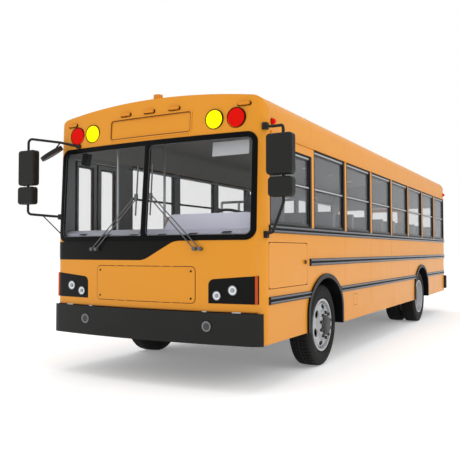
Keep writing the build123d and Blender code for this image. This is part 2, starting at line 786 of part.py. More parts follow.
def front_wheel(side):
    """Front wheel: rim, bulging disc with hand holes and hub."""
    plane = wheel_plane(0, front_y)
    disc = [(side * (wheel_x + x), r) for x, r in front_disc]
    with BuildPart() as piece:
        add(turned([rim_section(side, wheel_x), disc], plane))
        with BuildSketch(side_plane(side * (wheel_x + 60))):
            with Locations((front_y, wheel_z)):
                with PolarLocations(hand_hole_pitch, hand_holes):
                    Ellipse(17, 26)
        extrude(amount=side * 80, mode=Mode.SUBTRACT)
        with BuildSketch(side_plane(side * (wheel_x + 115))):
            with Locations((front_y, wheel_z)):
                with PolarLocations(stud_circle, hand_holes):
                    RegularPolygon(17, 6)
        extrude(amount=side * 26)
    return piece.part


def twin_wheel(side):
    """Rear twin wheel: two rims on one hub, the outer disc deeply dished."""
    plane = wheel_plane(0, rear_y)
    dish = [(side * (wheel_x + x), r) for x, r in outer_dish]
    with BuildPart() as piece:
        add(turned([rim_section(side, wheel_x), rim_section(side, inner_twin_x), dish], plane))
        with BuildSketch(side_plane(side * (wheel_x - 240))):
            with Locations((rear_y, wheel_z)):
                with PolarLocations(hand_hole_pitch - 8, hand_holes):
                    Ellipse(15, 24)
        extrude(amount=side * 180, mode=Mode.SUBTRACT)
        with BuildSketch(side_plane(side * (wheel_x - 134))):
            with Locations((rear_y, wheel_z)):
                with PolarLocations(stud_circle, hand_holes):
                    RegularPolygon(17, 6)
        extrude(amount=side * 30)
    return piece.part


def tyre(x, y):
    """Road tyre whose beads sit on the rim, centred at x along the axle."""
    plane = wheel_plane(x, y)
    bead = rim_half - 17
    with BuildPart() as piece:
        with BuildSketch(plane):
            with BuildLine():
                Polyline((-bead, bead_radius), (bead, bead_radius), (bead, flange_radius + 2))
                ThreePointArc((bead, flange_radius + 2), (tyre_half, 372), (110, 447))
                ThreePointArc((110, 447), (104, 457), (94, 461))
                ThreePointArc((94, 461), (0, tyre_radius), (-94, 461))
                ThreePointArc((-94, 461), (-104, 457), (-110, 447))
                ThreePointArc((-110, 447), (-tyre_half, 372), (-bead, flange_radius + 2))
                Line((-bead, flange_radius + 2), (-bead, bead_radius))
            make_face()
        revolve(axis=Axis(plane.origin, (1, 0, 0)))
    return piece.part


for side, name in ((1, "left"), (-1, "right")):
    with BuildPart() as front_wheel_piece:
        add(front_wheel(side))
    front_wheel_piece.part.label = f"{name}_front_wheel"
    export_step(front_wheel_piece.part, f"parts/{name}_front_wheel.step")
    with BuildPart() as front_tyre_piece:
        add(tyre(side * wheel_x, front_y))
    front_tyre_piece.part.label = f"{name}_front_tyre"
    export_step(front_tyre_piece.part, f"parts/{name}_front_tyre.step")
    with BuildPart() as rear_wheel_piece:
        add(twin_wheel(side))
    rear_wheel_piece.part.label = f"{name}_rear_wheels"
    export_step(rear_wheel_piece.part, f"parts/{name}_rear_wheels.step")
    with BuildPart() as rear_tyre_piece:
        add(tyre(side * wheel_x, rear_y))
        add(tyre(side * inner_twin_x, rear_y))
    rear_tyre_piece.part.label = f"{name}_rear_tyres"
    export_step(rear_tyre_piece.part, f"parts/{name}_rear_tyres.step")

# Service door: two leaves that swing outwards, each with an upper and a lower pane
door_panes = ((620.0, 1390.0), (1500.0, 2310.0))
stile = 58.0
pane_depth = 6.0
leaf_fronts = {"front": door_front + door_gap, "rear": door_rear - door_gap - leaf_width}

for name, leaf_front in leaf_fronts.items():
    leaf_rear = leaf_front + leaf_width
    with BuildPart() as door_leaf:
        with BuildSketch(side_plane(-leaf_outer)):
            plate(leaf_front, leaf_rear, door_bottom, door_top - door_gap)
            for low, high in door_panes:
                plate(leaf_front + stile, leaf_rear - stile, low, high, 30, mode=Mode.SUBTRACT)
        extrude(amount=leaf_thick)
    door_leaf.part.label = f"door_{name}_leaf"
    export_step(door_leaf.part, f"parts/door_{name}_leaf.step")
    with BuildPart() as door_glass:
        with BuildSketch(side_plane(-leaf_outer + 15)):
            for low, high in door_panes:
                plate(leaf_front + stile, leaf_rear - stile, low, high, 30)
        extrude(amount=pane_depth)
    door_glass.part.label = f"door_{name}_glass"
    export_step(door_glass.part, f"parts/door_{name}_glass.step")

# Emergency door in the tail, hinged on the right
exit_gap = 7.0
exit_panes = ((1020.0, 1480.0), (1640.0, 2200.0))
exit_stile = 75.0
exit_outer = tail - 3.0
exit_thick = 42.0

with BuildPart() as emergency_door:
    with BuildSketch(front_plane(exit_outer - exit_thick)):
        plate(-exit_half + exit_gap, exit_half - exit_gap, exit_bottom + exit_gap, exit_top - exit_gap, 38)
        for low, high in exit_panes:
            plate(-exit_half + exit_stile, exit_half - exit_stile, low, high, 35, mode=Mode.SUBTRACT)
    extrude(amount=-exit_thick)
emergency_door.part.label = "emergency_door"
export_step(emergency_door.part, "parts/emergency_door.step")

with BuildPart() as emergency_glass:
    with BuildSketch(front_plane(exit_outer - exit_thick / 2)):
        for low, high in exit_panes:
            plate(-exit_half + exit_stile, exit_half - exit_stile, low, high, 35)
    extrude(amount=-pane_depth)
emergency_glass.part.label = "emergency_glass"
export_step(emergency_glass.part, "parts/emergency_glass.step")

# Access hatch beside the driver, with its turn knob, and the charge port's flap
knob_y, knob_z = nose + 980.0, 1198.0

with BuildPart() as driver_hatch:
    with BuildSketch(side_plane(half - wall + 4)):
        plate(*hatch_y, *hatch_z, 38)
    extrude(amount=wall - 4)
    rod((half, knob_y, knob_z), (half + 18, knob_y, knob_z), 24)
driver_hatch.part.label = "driver_hatch"
export_step(driver_hatch.part, "parts/driver_hatch.step")

with BuildPart() as charge_flap:
    with BuildSketch(side_plane(half - flap_thick)):
        plate(*flap_y, *flap_z, 12)
    extrude(amount=flap_thick)
charge_flap.part.label = "charge_flap"
export_step(charge_flap.part, "parts/charge_flap.step")

# Lamps
red_x, red_z, red_radius = 1002.0, 2592.0, 92.0
yellow_x, yellow_z, yellow_radius = 769.0, 2595.0, 90.0
lamp_proud = 14.0

with BuildPart() as clear_lamps:
    for x, z, radius in headlamps:
        for side in (-1, 1):
            seat = nose_y(x, z)
            rod((side * x, seat + 5, z), (side * x, seat - 12, z), radius)
    for side in (-1, 1):
        seat = nose_y(fog_lamp[0], fog_lamp[1]) - 8
        rod((side * fog_lamp[0], seat, fog_lamp[1]), (side * fog_lamp[0], seat - 34, fog_lamp[1]), fog_lamp[2])
        rod((side * 1150, tail, 1010), (side * 1150, tail + 16, 1010), 62)
clear_lamps.part.label = "clear_lamps"
export_step(clear_lamps.part, "parts/clear_lamps.step")


def brow_lamp(x, z, radius):
    """Round warning lamp seated on the leaning header."""
    with BuildPart() as lamp:
        seat = nose_y(x, z)
        rod((x, seat + 30, z), (x, seat - lamp_proud, z), radius)
        fillet(lamp.faces().sort_by(Axis.Y)[0].edges(), 9)
        add(high_nose(0), mode=Mode.SUBTRACT)
    return lamp.part


with BuildPart() as red_lamps:
    for side in (-1, 1):
        add(brow_lamp(side * red_x, red_z, red_radius))
        rod((side * red_x, tail, red_z), (side * red_x, tail + lamp_proud, red_z), red_radius)
        rod((side * 1150, tail, 1370), (side * 1150, tail + 16, 1370), 90)
    for x in (-300, 0, 300):
        slab((x - 45, tail, 2740), (x + 45, tail + 18, 2766))
red_lamps.part.label = "red_lamps"
export_step(red_lamps.part, "parts/red_lamps.step")

with BuildPart() as yellow_lamps:
    for side in (-1, 1):
        add(brow_lamp(side * yellow_x, yellow_z, yellow_radius))
        rod((side * yellow_x, tail, yellow_z), (side * yellow_x, tail + lamp_proud, yellow_z), yellow_radius)
        rod((side * 1150, tail, 1180), (side * 1150, tail + 16, 1180), 80)
yellow_lamps.part.label = "yellow_lamps"
export_step(yellow_lamps.part, "parts/yellow_lamps.step")

# Marker lamps: columns are place across and height; and the beacon on the roof
markers = ((0.0, 2755.0), (307.0, 2755.0), (-307.0, 2755.0), (1084.0, 2722.0), (-1084.0, 2722.0))
marker_half, marker_tall, marker_proud = 62.0, 32.0, 26.0
beacon_y, beacon_radius, beacon_top = nose + 130.0, 49.0, 2957.0

with BuildPart() as marker_lamps:
    for x, z in markers:
        seat = nose_y(x, z)
        with BuildSketch(front_plane(seat + 40)):
            with Locations((x, z)):
                SlotOverall(2 * marker_half, marker_tall)
        extrude(amount=40 + marker_proud)
    add(high_nose(0), mode=Mode.SUBTRACT)
    beacon_seat = crown - 10
    rod((0, beacon_y, beacon_seat), (0, beacon_y, beacon_top), beacon_radius)
    add(nose_body(0, nose + 300), mode=Mode.SUBTRACT)
marker_lamps.part.label = "marker_lamps"
export_step(marker_lamps.part, "parts/marker_lamps.step")

# Dashboard: a sloped shelf along the windscreen, the instrument hump and the steering column
dash_low, dash_front, dash_high = 1300.0, 1462.0, 1548.0
dash_back = nose + 330.0
hump_x = (60.0, 1130.0)
hump_top = 1692.0
hump_y = (nose + 110.0, nose + 430.0)
wheel_rim_radius, wheel_grip = 215.0, 15.0
steer_x, steer_y, steer_z = 632.0, nose + 640.0, 1632.0
steer_tilt = radians(32)
steer_axis = Vector(0, sin(steer_tilt), cos(steer_tilt))
steer_hub = Vector(steer_x, steer_y, steer_z)

dash_clear = 18.0

with BuildPart() as dash_shelf:
    with BuildSketch(side_plane(-half)):
        with BuildLine():
            Polyline((nose - 120, dash_low), (nose - 120, dash_front), (nose + 150, dash_high),
                     (dash_back, dash_high), (dash_back, dash_low), close=True)
        make_face()
    extrude(amount=2 * half)
    add(low_nose(wall + dash_clear, dash_low - 10, dash_high + 10, nose + 600), mode=Mode.INTERSECT)
    slab((-half, door_front - 10, dash_low - 10), (step_edge[2] + 5, dash_back + 10, dash_high + 10),
         mode=Mode.SUBTRACT)

with BuildPart() as instrument_hump:
    with BuildSketch(front_plane(hump_y[0])):
        with BuildLine():
            Polyline((hump_x[0], dash_high - 60), (hump_x[0] + 120, hump_top), (hump_x[1] - 10, hump_top),
                     (hump_x[1], dash_high - 60), close=True)
        make_face()
    extrude(amount=-(hump_y[1] - hump_y[0]))
    fillet(instrument_hump.edges().filter_by(Axis.Y).group_by(Axis.Z)[-1], 62)

with BuildPart() as dashboard:
    add(dash_shelf.part)
    add(instrument_hump.part)
    slab((steer_x - 60, dash_back - 20, dash_low), (steer_x + 60, dash_back + 140, dash_front))
    rod(steer_hub - steer_axis * 60, steer_hub - steer_axis * 420, 34)
dashboard.part.label = "dashboard"
export_step(dashboard.part, "parts/dashboard.step")

# Steering wheel on its column
with BuildPart() as steering_wheel:
    rim_plane = Plane(origin=steer_hub, x_dir=(1, 0, 0), z_dir=steer_axis)
    with Locations(rim_plane):
        Torus(wheel_rim_radius, wheel_grip)
    rod(steer_hub - steer_axis * 54, steer_hub - steer_axis * 4, 42)
    for turn in (0, 120, 240):
        spoke = rim_plane.rotated((0, 0, 90 + turn))
        rod(steer_hub - steer_axis * 22 + spoke.x_dir * 30, steer_hub + spoke.x_dir * (wheel_rim_radius - 4), 9)
steering_wheel.part.label = "steering_wheel"
export_step(steering_wheel.part, "parts/steering_wheel.step")

# Seats: the driver's on a pedestal and two files of benches on aisle legs
cushion_top, cushion_thick = 1350.0, 120.0
bench_inner, bench_outer = 235.0, half - wall - 4
bench_pitch, bench_depth = 725.0, 430.0
back_top, back_thick, back_lean = 1800.0, 85.0, 60.0
bench_first = nose + 1560.0
bench_count = 10
leg_thick = 45.0


def bench_face(y):
    """Side outline of a bench: a cushion and a leaning back."""
    rear = y + bench_depth
    with BuildSketch() as face:
        with BuildLine():
            Polyline((y, cushion_top - cushion_thick), (y, cushion_top), (rear, cushion_top - 15),
                     (rear + back_lean, back_top), (rear + back_lean + back_thick, back_top),
                     (rear + back_thick, cushion_top - cushion_thick), close=True)
        make_face()
        fillet(face.vertices().group_by(Axis.Y)[-1], 36)
        fillet(face.vertices().group_by(Axis.X)[0].group_by(Axis.Y)[-1], 40)
    return face.sketch


def benches(side):
    """One file of benches along the given side of the aisle."""
    with BuildPart() as file:
        for i in range(bench_count):
            y = bench_first + bench_pitch * i
            low, high = span(side, bench_inner, bench_outer)
            with BuildSketch(side_plane(low)):
                add(bench_face(y))
            extrude(amount=high - low)
            low, high = span(side, bench_inner + 30, bench_inner + 30 + leg_thick)
            slab((low, y + 120, floor_top), (high, y + 330, cushion_top - cushion_thick))
    return file.part


for side, name in ((1, "left_benches"), (-1, "right_benches")):
    with BuildPart() as bench_file:
        add(benches(side))
    bench_file.part.label = name
    export_step(bench_file.part, f"parts/{name}.step")

driver_x, driver_y, driver_top = 640.0, nose + 860.0, 1980.0

with BuildPart() as driver_seat:
    slab((driver_x - 240, driver_y, 1340), (driver_x + 240, driver_y + 460, 1450))
    slab((driver_x - 235, driver_y + 440, 1340), (driver_x + 235, driver_y + 550, driver_top))
    slab((driver_x - 150, driver_y + 80, floor_top), (driver_x + 40, driver_y + 400, 1340))
driver_seat.part.label = "driver_seat"
export_step(driver_seat.part, "parts/driver_seat.step")

# Grab rails: a barrier behind the driver, a long rail over the right windows and stanchions by the door
barrier_y, barrier_z, tube = nose + 1490.0, 1915.0, 15.0
long_rail_x, long_rail_z = -1130.0, 2375.0

with BuildPart() as grab_rails:
    rod((-10, barrier_y, floor_top), (-10, barrier_y, barrier_z), tube)
    rod((-10, barrier_y, barrier_z), (half - wall, barrier_y, barrier_z), tube)
    for x in (230, 480):
        rod((x, barrier_y, floor_top), (x, barrier_y, barrier_z), tube)
    rod((long_rail_x, nose + 1150, long_rail_z), (long_rail_x, nose + 8700, long_rail_z), tube)
    for post in posts:
        rod((long_rail_x, post, long_rail_z), (-half + wall, post, long_rail_z), tube - 5)
    for y, foot in ((door_front - 40, dash_high), (door_rear + 60, floor_top)):
        rod((step_edge[2] + 60, y, foot), (step_edge[2] + 60, y, 2780), tube)
grab_rails.part.label = "grab_rails"
export_step(grab_rails.part, "parts/grab_rails.step")

# Wipers: twin parallel arms from two pivots below the glass to an upright blade
pivot_z, elbow_z = 1338.0, 1885.0
pivot_x = (676.0, 613.0)
elbow_x = (96.0, 88.0)
blade_x, blade_low, blade_high = 91.0, 1676.0, 2189.0
wiper_lift = 30.0

with BuildPart() as wipers:
    for side in (-1, 1):
        for x, elbow in zip(pivot_x, elbow_x):
            seat = nose_y(x, pivot_z)
            lift = elbow_z - (0 if x == pivot_x[0] else 36)
            arm_start = (side * x, seat - wiper_lift, pivot_z)
            rod((side * x, seat + 4, pivot_z), (side * x, seat - wiper_lift - 12, pivot_z), 19)
            rod(arm_start, (side * elbow, nose_y(elbow, lift) - wiper_lift, lift), 6)
        low_end = (side * blade_x, nose_y(blade_x, blade_low) - wiper_lift + 8, blade_low)
        high_end = (side * blade_x, nose_y(blade_x, blade_high) - wiper_lift + 8, blade_high)
        rod(low_end, high_end, 8)
        middle_y = nose_y(blade_x, elbow_z) - wiper_lift
        slab((side * blade_x - 14, middle_y - 12, elbow_z - 50), (side * blade_x + 14, middle_y + 14, elbow_z + 14))
    add(front_panel.part, mode=Mode.SUBTRACT)
    add(front_trim.part, mode=Mode.SUBTRACT)
wipers.part.label = "wipers"
export_step(wipers.part, "parts/wipers.step")

# Mirrors: columns of each head are middle across, bottom, top and width
mirror_y, head_depth = nose - 150.0, 86.0
pole = 14.0
left_heads = ((1531.0, 1997.0, 2367.0, 256.0), (1540.0, 1799.0, 1978.0, 238.0))
right_heads = ((-1604.0, 2062.0, 2461.0, 250.0), (-1617.0, 1848.0, 2047.0, 238.0))


def mirror_heads(heads):
    """Rounded mirror housings hung one above the other."""
    with BuildPart() as housings:
        for middle, low, high, width in heads:
            with BuildSketch(front_plane(mirror_y - head_depth / 2)):
                plate(middle - width / 2, middle + width / 2, low, high, 34)
            extrude(amount=-head_depth)
        fillet(housings.faces().group_by(Axis.Y)[0].edges(), 22)
    return housings.part


with BuildPart() as left_mirrors:
    add(mirror_heads(left_heads))
    add(bent_tube([(1562, mirror_y, 1760), (1562, mirror_y, 2437), (1400, nose - 30, 2462),
                   (1282, nose + 60, 2490)], 40, pole))
    add(bent_tube([(1562, mirror_y, 1830), (1562, mirror_y, 1745), (1400, nose - 30, 1490),
                   (1285, nose + 45, 1470)], 40, pole))
    for z in (2490, 1470):
        slab((1262, nose + 30, z - 32), (1312, nose + 82, z + 32))
    add(nose_body(0, window_seam), mode=Mode.SUBTRACT)
left_mirrors.part.label = "left_mirrors"
export_step(left_mirrors.part, "parts/left_mirrors.step")

with BuildPart() as right_mirrors:
    add(mirror_heads(right_heads))
    add(bent_tube([(-1604, mirror_y, 1800), (-1604, mirror_y, 2597), (-1200, nose - 60, 2532),
                   (-975, nose + 30, 2474)], 45, pole))
    add(bent_tube([(-1604, mirror_y, 1880), (-1604, mirror_y, 1738), (-1230, nose + 20, 1702)], 45, pole))
    rod((-1440, nose - 80, 1716), (-1150, nose + 10, 1437), 6)
    with Locations(Plane(origin=(-1225, nose - 165, 2395), z_dir=(0.365, 0.414, -0.835))):
        Cylinder(132, 44)
    rod((-1225, nose - 165, 2395), (-1205, nose - 60, 2532), 8)
    slab((-1005, nose - 25, 2456), (-945, nose + 60, 2492))
    slab((-1262, nose - 30, 1672), (-1205, nose + 60, 1732))
    slab((-1175, nose - 40, 1422), (-1125, nose + 40, 1450))
    add(nose_body(0, window_seam), mode=Mode.SUBTRACT)
    add(windscreen_gasket.part, mode=Mode.SUBTRACT)
    add(front_panel.part, mode=Mode.SUBTRACT)
right_mirrors.part.label = "right_mirrors"
export_step(right_mirrors.part, "parts/right_mirrors.step")
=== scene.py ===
from math import asin, cos, pi, radians, sin, sqrt

import bpy
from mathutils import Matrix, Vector


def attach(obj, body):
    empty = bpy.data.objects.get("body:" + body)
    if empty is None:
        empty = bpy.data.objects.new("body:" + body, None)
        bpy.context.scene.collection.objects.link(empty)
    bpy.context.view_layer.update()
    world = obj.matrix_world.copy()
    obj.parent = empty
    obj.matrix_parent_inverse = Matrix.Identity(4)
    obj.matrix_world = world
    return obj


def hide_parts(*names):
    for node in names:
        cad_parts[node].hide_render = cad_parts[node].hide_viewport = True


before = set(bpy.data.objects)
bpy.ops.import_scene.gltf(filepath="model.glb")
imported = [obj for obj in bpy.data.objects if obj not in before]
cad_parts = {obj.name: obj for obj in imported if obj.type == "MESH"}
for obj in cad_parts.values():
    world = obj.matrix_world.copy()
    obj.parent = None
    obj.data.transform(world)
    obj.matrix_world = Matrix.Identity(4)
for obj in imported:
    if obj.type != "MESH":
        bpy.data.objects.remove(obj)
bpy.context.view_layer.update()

# All sizes below are in millimetres in the frame of the CAD model, until piece() turns them into metres.
nose = -4440.0
body = {"half": 1295, "belt": 1420, "gutter": 2436, "crown": 2883, "roofBow": 8300, "roofTurn": 1166,
        "tail": nose + 9050, "lowLead": -132, "lowBow": 7600, "highLead": -5, "highBow": 14000,
        "loftTop": 2960}
wheels = {"frontY": nose + 1625, "rearY": nose + 6710, "z": 465, "outerX": 1132, "innerX": 837}
windowPosts = [nose + 1213 + 1121 * i for i in range(7)]  # middles of the posts between the side windows
sides = ((1, "left"), (-1, "right"))


# Place along the bus of the nose's skin: a bowed lower part, and a leaning one above the belt
def noseY(x, z):
    low = body["lowLead"] + body["lowBow"] - sqrt(body["lowBow"] ** 2 - x ** 2)
    high = body["highLead"] + body["highBow"] - sqrt(body["highBow"] ** 2 - x ** 2)
    share = max(0.0, (z - body["belt"]) / (body["loftTop"] - body["belt"]))
    return nose + low + (high - low) * share


# Direction straight out of the nose's skin
def noseOut(x, z):
    ahead = Vector((1, (noseY(x + 5, z) - noseY(x - 5, z)) / 10, 0))
    rise = Vector((0, (noseY(x, z + 5) - noseY(x, z - 5)) / 10, 1))
    out = rise.cross(ahead).normalized()
    return -out if out.y > 0 else out


# Points of the roof section moved in by inset, from the left gutter over the crown to the right
def roofLine(inset, crownSteps=24, cornerSteps=12):
    slope = asin(body["roofTurn"] / body["roofBow"])
    corner = (body["half"] - body["roofTurn"]) / (1 - sin(slope))
    centre = body["crown"] - body["roofBow"]
    cornerZ = centre + body["roofBow"] * cos(slope) - corner * cos(slope)
    cornerX = body["half"] - corner
    points = [(body["half"] - inset, body["gutter"] + 2)]
    for i in range(cornerSteps + 1):
        turn = (pi / 2 - slope) * i / cornerSteps
        points.append((cornerX + (corner - inset) * cos(turn), cornerZ + (corner - inset) * sin(turn)))
    for i in range(1, crownSteps + 1):
        turn = slope * (1 - i / crownSteps)
        points.append(((body["roofBow"] - inset) * sin(turn), centre + (body["roofBow"] - inset) * cos(turn)))
    return points + [(-x, z) for x, z in points[-2::-1]]


# sRGB hex colour as linear values with full alpha
def linear(hexColour):
    values = [int(hexColour[i:i + 2], 16) / 255 for i in (0, 2, 4)]
    return [v / 12.92 if v <= 0.04045 else ((v + 0.055) / 1.055) ** 2.4 for v in values] + [1.0]


# One node with its settings and links
def addNode(tree, kind, settings=(), links=()):
    node = tree.nodes.new(kind)
    for name, value in dict(settings).items():
        if name in node.inputs:
            node.inputs[name].default_value = value
        else:
            setattr(node, name, value)
    for name, source in dict(links).items():
        tree.links.new(source, node.inputs[name])
    return node


# Solid finish: its roughness drifts over about 0.4 m, wear dusts its colour and the grain has a size in mm.
# Real grains of paint and moulding are finer than the render shows, so they are drawn 1 to 4 mm wide.
def material(name, colour, roughness, metallic=0.0, grainMm=0.0, grainDepth=0.0, wear=0.0, coat=0.0,
             extra=()):
    made = bpy.data.materials.new(name)
    made.use_nodes = True
    tree = made.node_tree
    shader = tree.nodes["Principled BSDF"]
    for socket, value in {"Base Color": linear(colour), "Roughness": roughness, "Metallic": metallic,
                          "Coat Weight": coat, "Coat Roughness": 0.08, **dict(extra)}.items():
        shader.inputs[socket].default_value = value
    place = addNode(tree, "ShaderNodeTexCoord")
    patches = addNode(tree, "ShaderNodeTexNoise", {"Scale": 1000 / 400, "Detail": 6.0},
                      {"Vector": place.outputs["Object"]})
    spread = addNode(tree, "ShaderNodeMapRange",
                     {"To Min": max(0.02, roughness - 0.06), "To Max": roughness + 0.08},
                     {"Value": patches.outputs["Fac"]})
    tree.links.new(spread.outputs["Result"], shader.inputs["Roughness"])
    if wear:
        dust = addNode(tree, "ShaderNodeMix", {"data_type": "RGBA", "blend_type": "MULTIPLY"})
        dust.inputs[6].default_value = linear(colour)
        dust.inputs[7].default_value = (0.72, 0.7, 0.66, 1.0)
        amount = addNode(tree, "ShaderNodeMapRange", {"From Min": 0.45, "From Max": 0.75, "To Max": wear},
                         {"Value": patches.outputs["Fac"]})
        tree.links.new(amount.outputs["Result"], dust.inputs[0])
        tree.links.new(dust.outputs[2], shader.inputs["Base Color"])
    if grainMm:
        grain = addNode(tree, "ShaderNodeTexNoise", {"Scale": 1000 / grainMm, "Detail": 2.0},
                        {"Vector": place.outputs["Object"]})
        bump = addNode(tree, "ShaderNodeBump", {"Strength": 0.35, "Distance": grainDepth / 1000},
                       {"Height": grain.outputs["Fac"]})
        tree.links.new(bump.outputs["Normal"], shader.inputs["Normal"])
    return made


# Thin pane, clear seen square on; its base colour lies over it as a veil of painted reflection that thickens
# at a glance
def glassMaterial(name, colour, clearness, ior=1.5):
    made = bpy.data.materials.new(name)
    made.use_nodes = True
    tree = made.node_tree
    shader = tree.nodes["Principled BSDF"]
    for socket, value in {"Base Color": linear(colour), "Roughness": 0.03, "IOR": ior}.items():
        shader.inputs[socket].default_value = value
    glance = addNode(tree, "ShaderNodeLayerWeight", {"Blend": 0.5})
    steep = addNode(tree, "ShaderNodeMath", {"operation": "POWER"})
    steep.inputs[1].default_value = 5
    tree.links.new(glance.outputs["Facing"], steep.inputs[0])
    cover = addNode(tree, "ShaderNodeMapRange", {"To Min": 1 - clearness, "To Max": 0.7},
                    {"Value": steep.outputs["Value"]})
    tree.links.new(cover.outputs["Result"], shader.inputs["Alpha"])
    return made


# Ribbed covering: fine ribs of the given pitch along one axis
def ribbedMaterial(name, colour, pitchMm, axis, roughness):
    made = material(name, colour, roughness, wear=0.3)
    tree = made.node_tree
    place = addNode(tree, "ShaderNodeTexCoord")
    ribs = addNode(tree, "ShaderNodeTexWave", {"Scale": 1000 / pitchMm / pi, "bands_direction": axis},
                   {"Vector": place.outputs["Object"]})
    bump = addNode(tree, "ShaderNodeBump", {"Strength": 0.5, "Distance": 0.002},
                   {"Height": ribs.outputs["Fac"]})
    tree.links.new(bump.outputs["Normal"], tree.nodes["Principled BSDF"].inputs["Normal"])
    return made


# Zones of the body shell: distances in from its outer surface, in mm
shellZones = {"noseLining": 44, "noseJoint": 137, "roofLining": 45, "wallLining": 47, "wallEdge": 8,
              "tailLining": 52, "tailJoint": 80}


# Body paint outside, dull dark lining on the faces in the cabin and black edges where openings cut the wall
def linedPaint(name, colour, liningColour, edgeColour, roughness):
    made = material(name, colour, roughness, grainMm=1.2, grainDepth=0.01, coat=0.12,
                    extra={"Specular IOR Level": 0.22})
    tree = made.node_tree
    place = addNode(tree, "ShaderNodeTexCoord")
    axes = addNode(tree, "ShaderNodeSeparateXYZ", (), {"Vector": place.outputs["Object"]})
    zones = {key: value / 1000 for key, value in shellZones.items()}
    shell = {key: value / 1000 for key, value in body.items()}
    lean = (shell["highLead"] - shell["lowLead"]) / (shell["loftTop"] - shell["belt"])
    frontFlat = nose / 1000 + shell["lowLead"] - lean * shell["belt"]
    frontBow = 0.052  # per metre, between the bows of the lower and the upper nose
    steps = (  # value, operation, first term, second term
        ("bow", "MULTIPLY", "x", "x"),
        ("rise", "MAXIMUM", "z", shell["belt"]),
        ("leaning", "MULTIPLY", "rise", lean),
        ("bowing", "MULTIPLY", "bow", frontBow),
        ("front", "ADD", "leaning", "bowing"),
        ("depth", "SUBTRACT", "y", "front"),
        ("behindNose", "GREATER_THAN", "depth", frontFlat + zones["noseLining"]),
        ("camber", "MULTIPLY", "bow", 1 / (2 * shell["roofBow"])),
        ("roofHeight", "ADD", "z", "camber"),
        ("underRoof", "LESS_THAN", "roofHeight", shell["crown"] - zones["roofLining"]),
        ("across", "ABSOLUTE", "x", 0),
        ("inCabin", "LESS_THAN", "across", shell["half"] - zones["wallLining"]),
        ("inWall", "LESS_THAN", "across", shell["half"] - zones["wallEdge"]),
        ("pastNoseJoint", "GREATER_THAN", "y", nose / 1000 + zones["noseJoint"]),
        ("beforeTailJoint", "LESS_THAN", "y", shell["tail"] - zones["tailJoint"]),
        ("wallStart", "MULTIPLY", "inWall", "pastNoseJoint"),
        ("wallRun", "MULTIPLY", "wallStart", "beforeTailJoint"),
        ("width", "MAXIMUM", "inCabin", "wallRun"),
        ("beforeTail", "LESS_THAN", "y", shell["tail"] - zones["tailLining"]),
        ("length", "MULTIPLY", "width", "beforeTail"),
        ("height", "MULTIPLY", "behindNose", "underRoof"),
        ("lined", "MULTIPLY", "height", "length"),
        ("edge", "GREATER_THAN", "across", shell["half"] - zones["wallLining"]),
    )
    values = {"x": axes.outputs["X"], "y": axes.outputs["Y"], "z": axes.outputs["Z"]}
    for value, operation, *terms in steps:
        step = addNode(tree, "ShaderNodeMath", {"operation": operation})
        for socket, term in zip(step.inputs, terms):
            if isinstance(term, str):
                tree.links.new(values[term], socket)
            else:
                socket.default_value = term
        values[value] = step.outputs["Value"]
    lining = addNode(tree, "ShaderNodeMix", {"data_type": "RGBA"})
    lining.inputs[6].default_value = linear(liningColour)
    lining.inputs[7].default_value = linear(edgeColour)
    tree.links.new(values["edge"], lining.inputs[0])
    blend = addNode(tree, "ShaderNodeMix", {"data_type": "RGBA"})
    blend.inputs[6].default_value = linear(colour)
    tree.links.new(values["lined"], blend.inputs[0])
    tree.links.new(lining.outputs[2], blend.inputs[7])
    tree.links.new(blend.outputs[2], tree.nodes["Principled BSDF"].inputs["Base Color"])
    return made


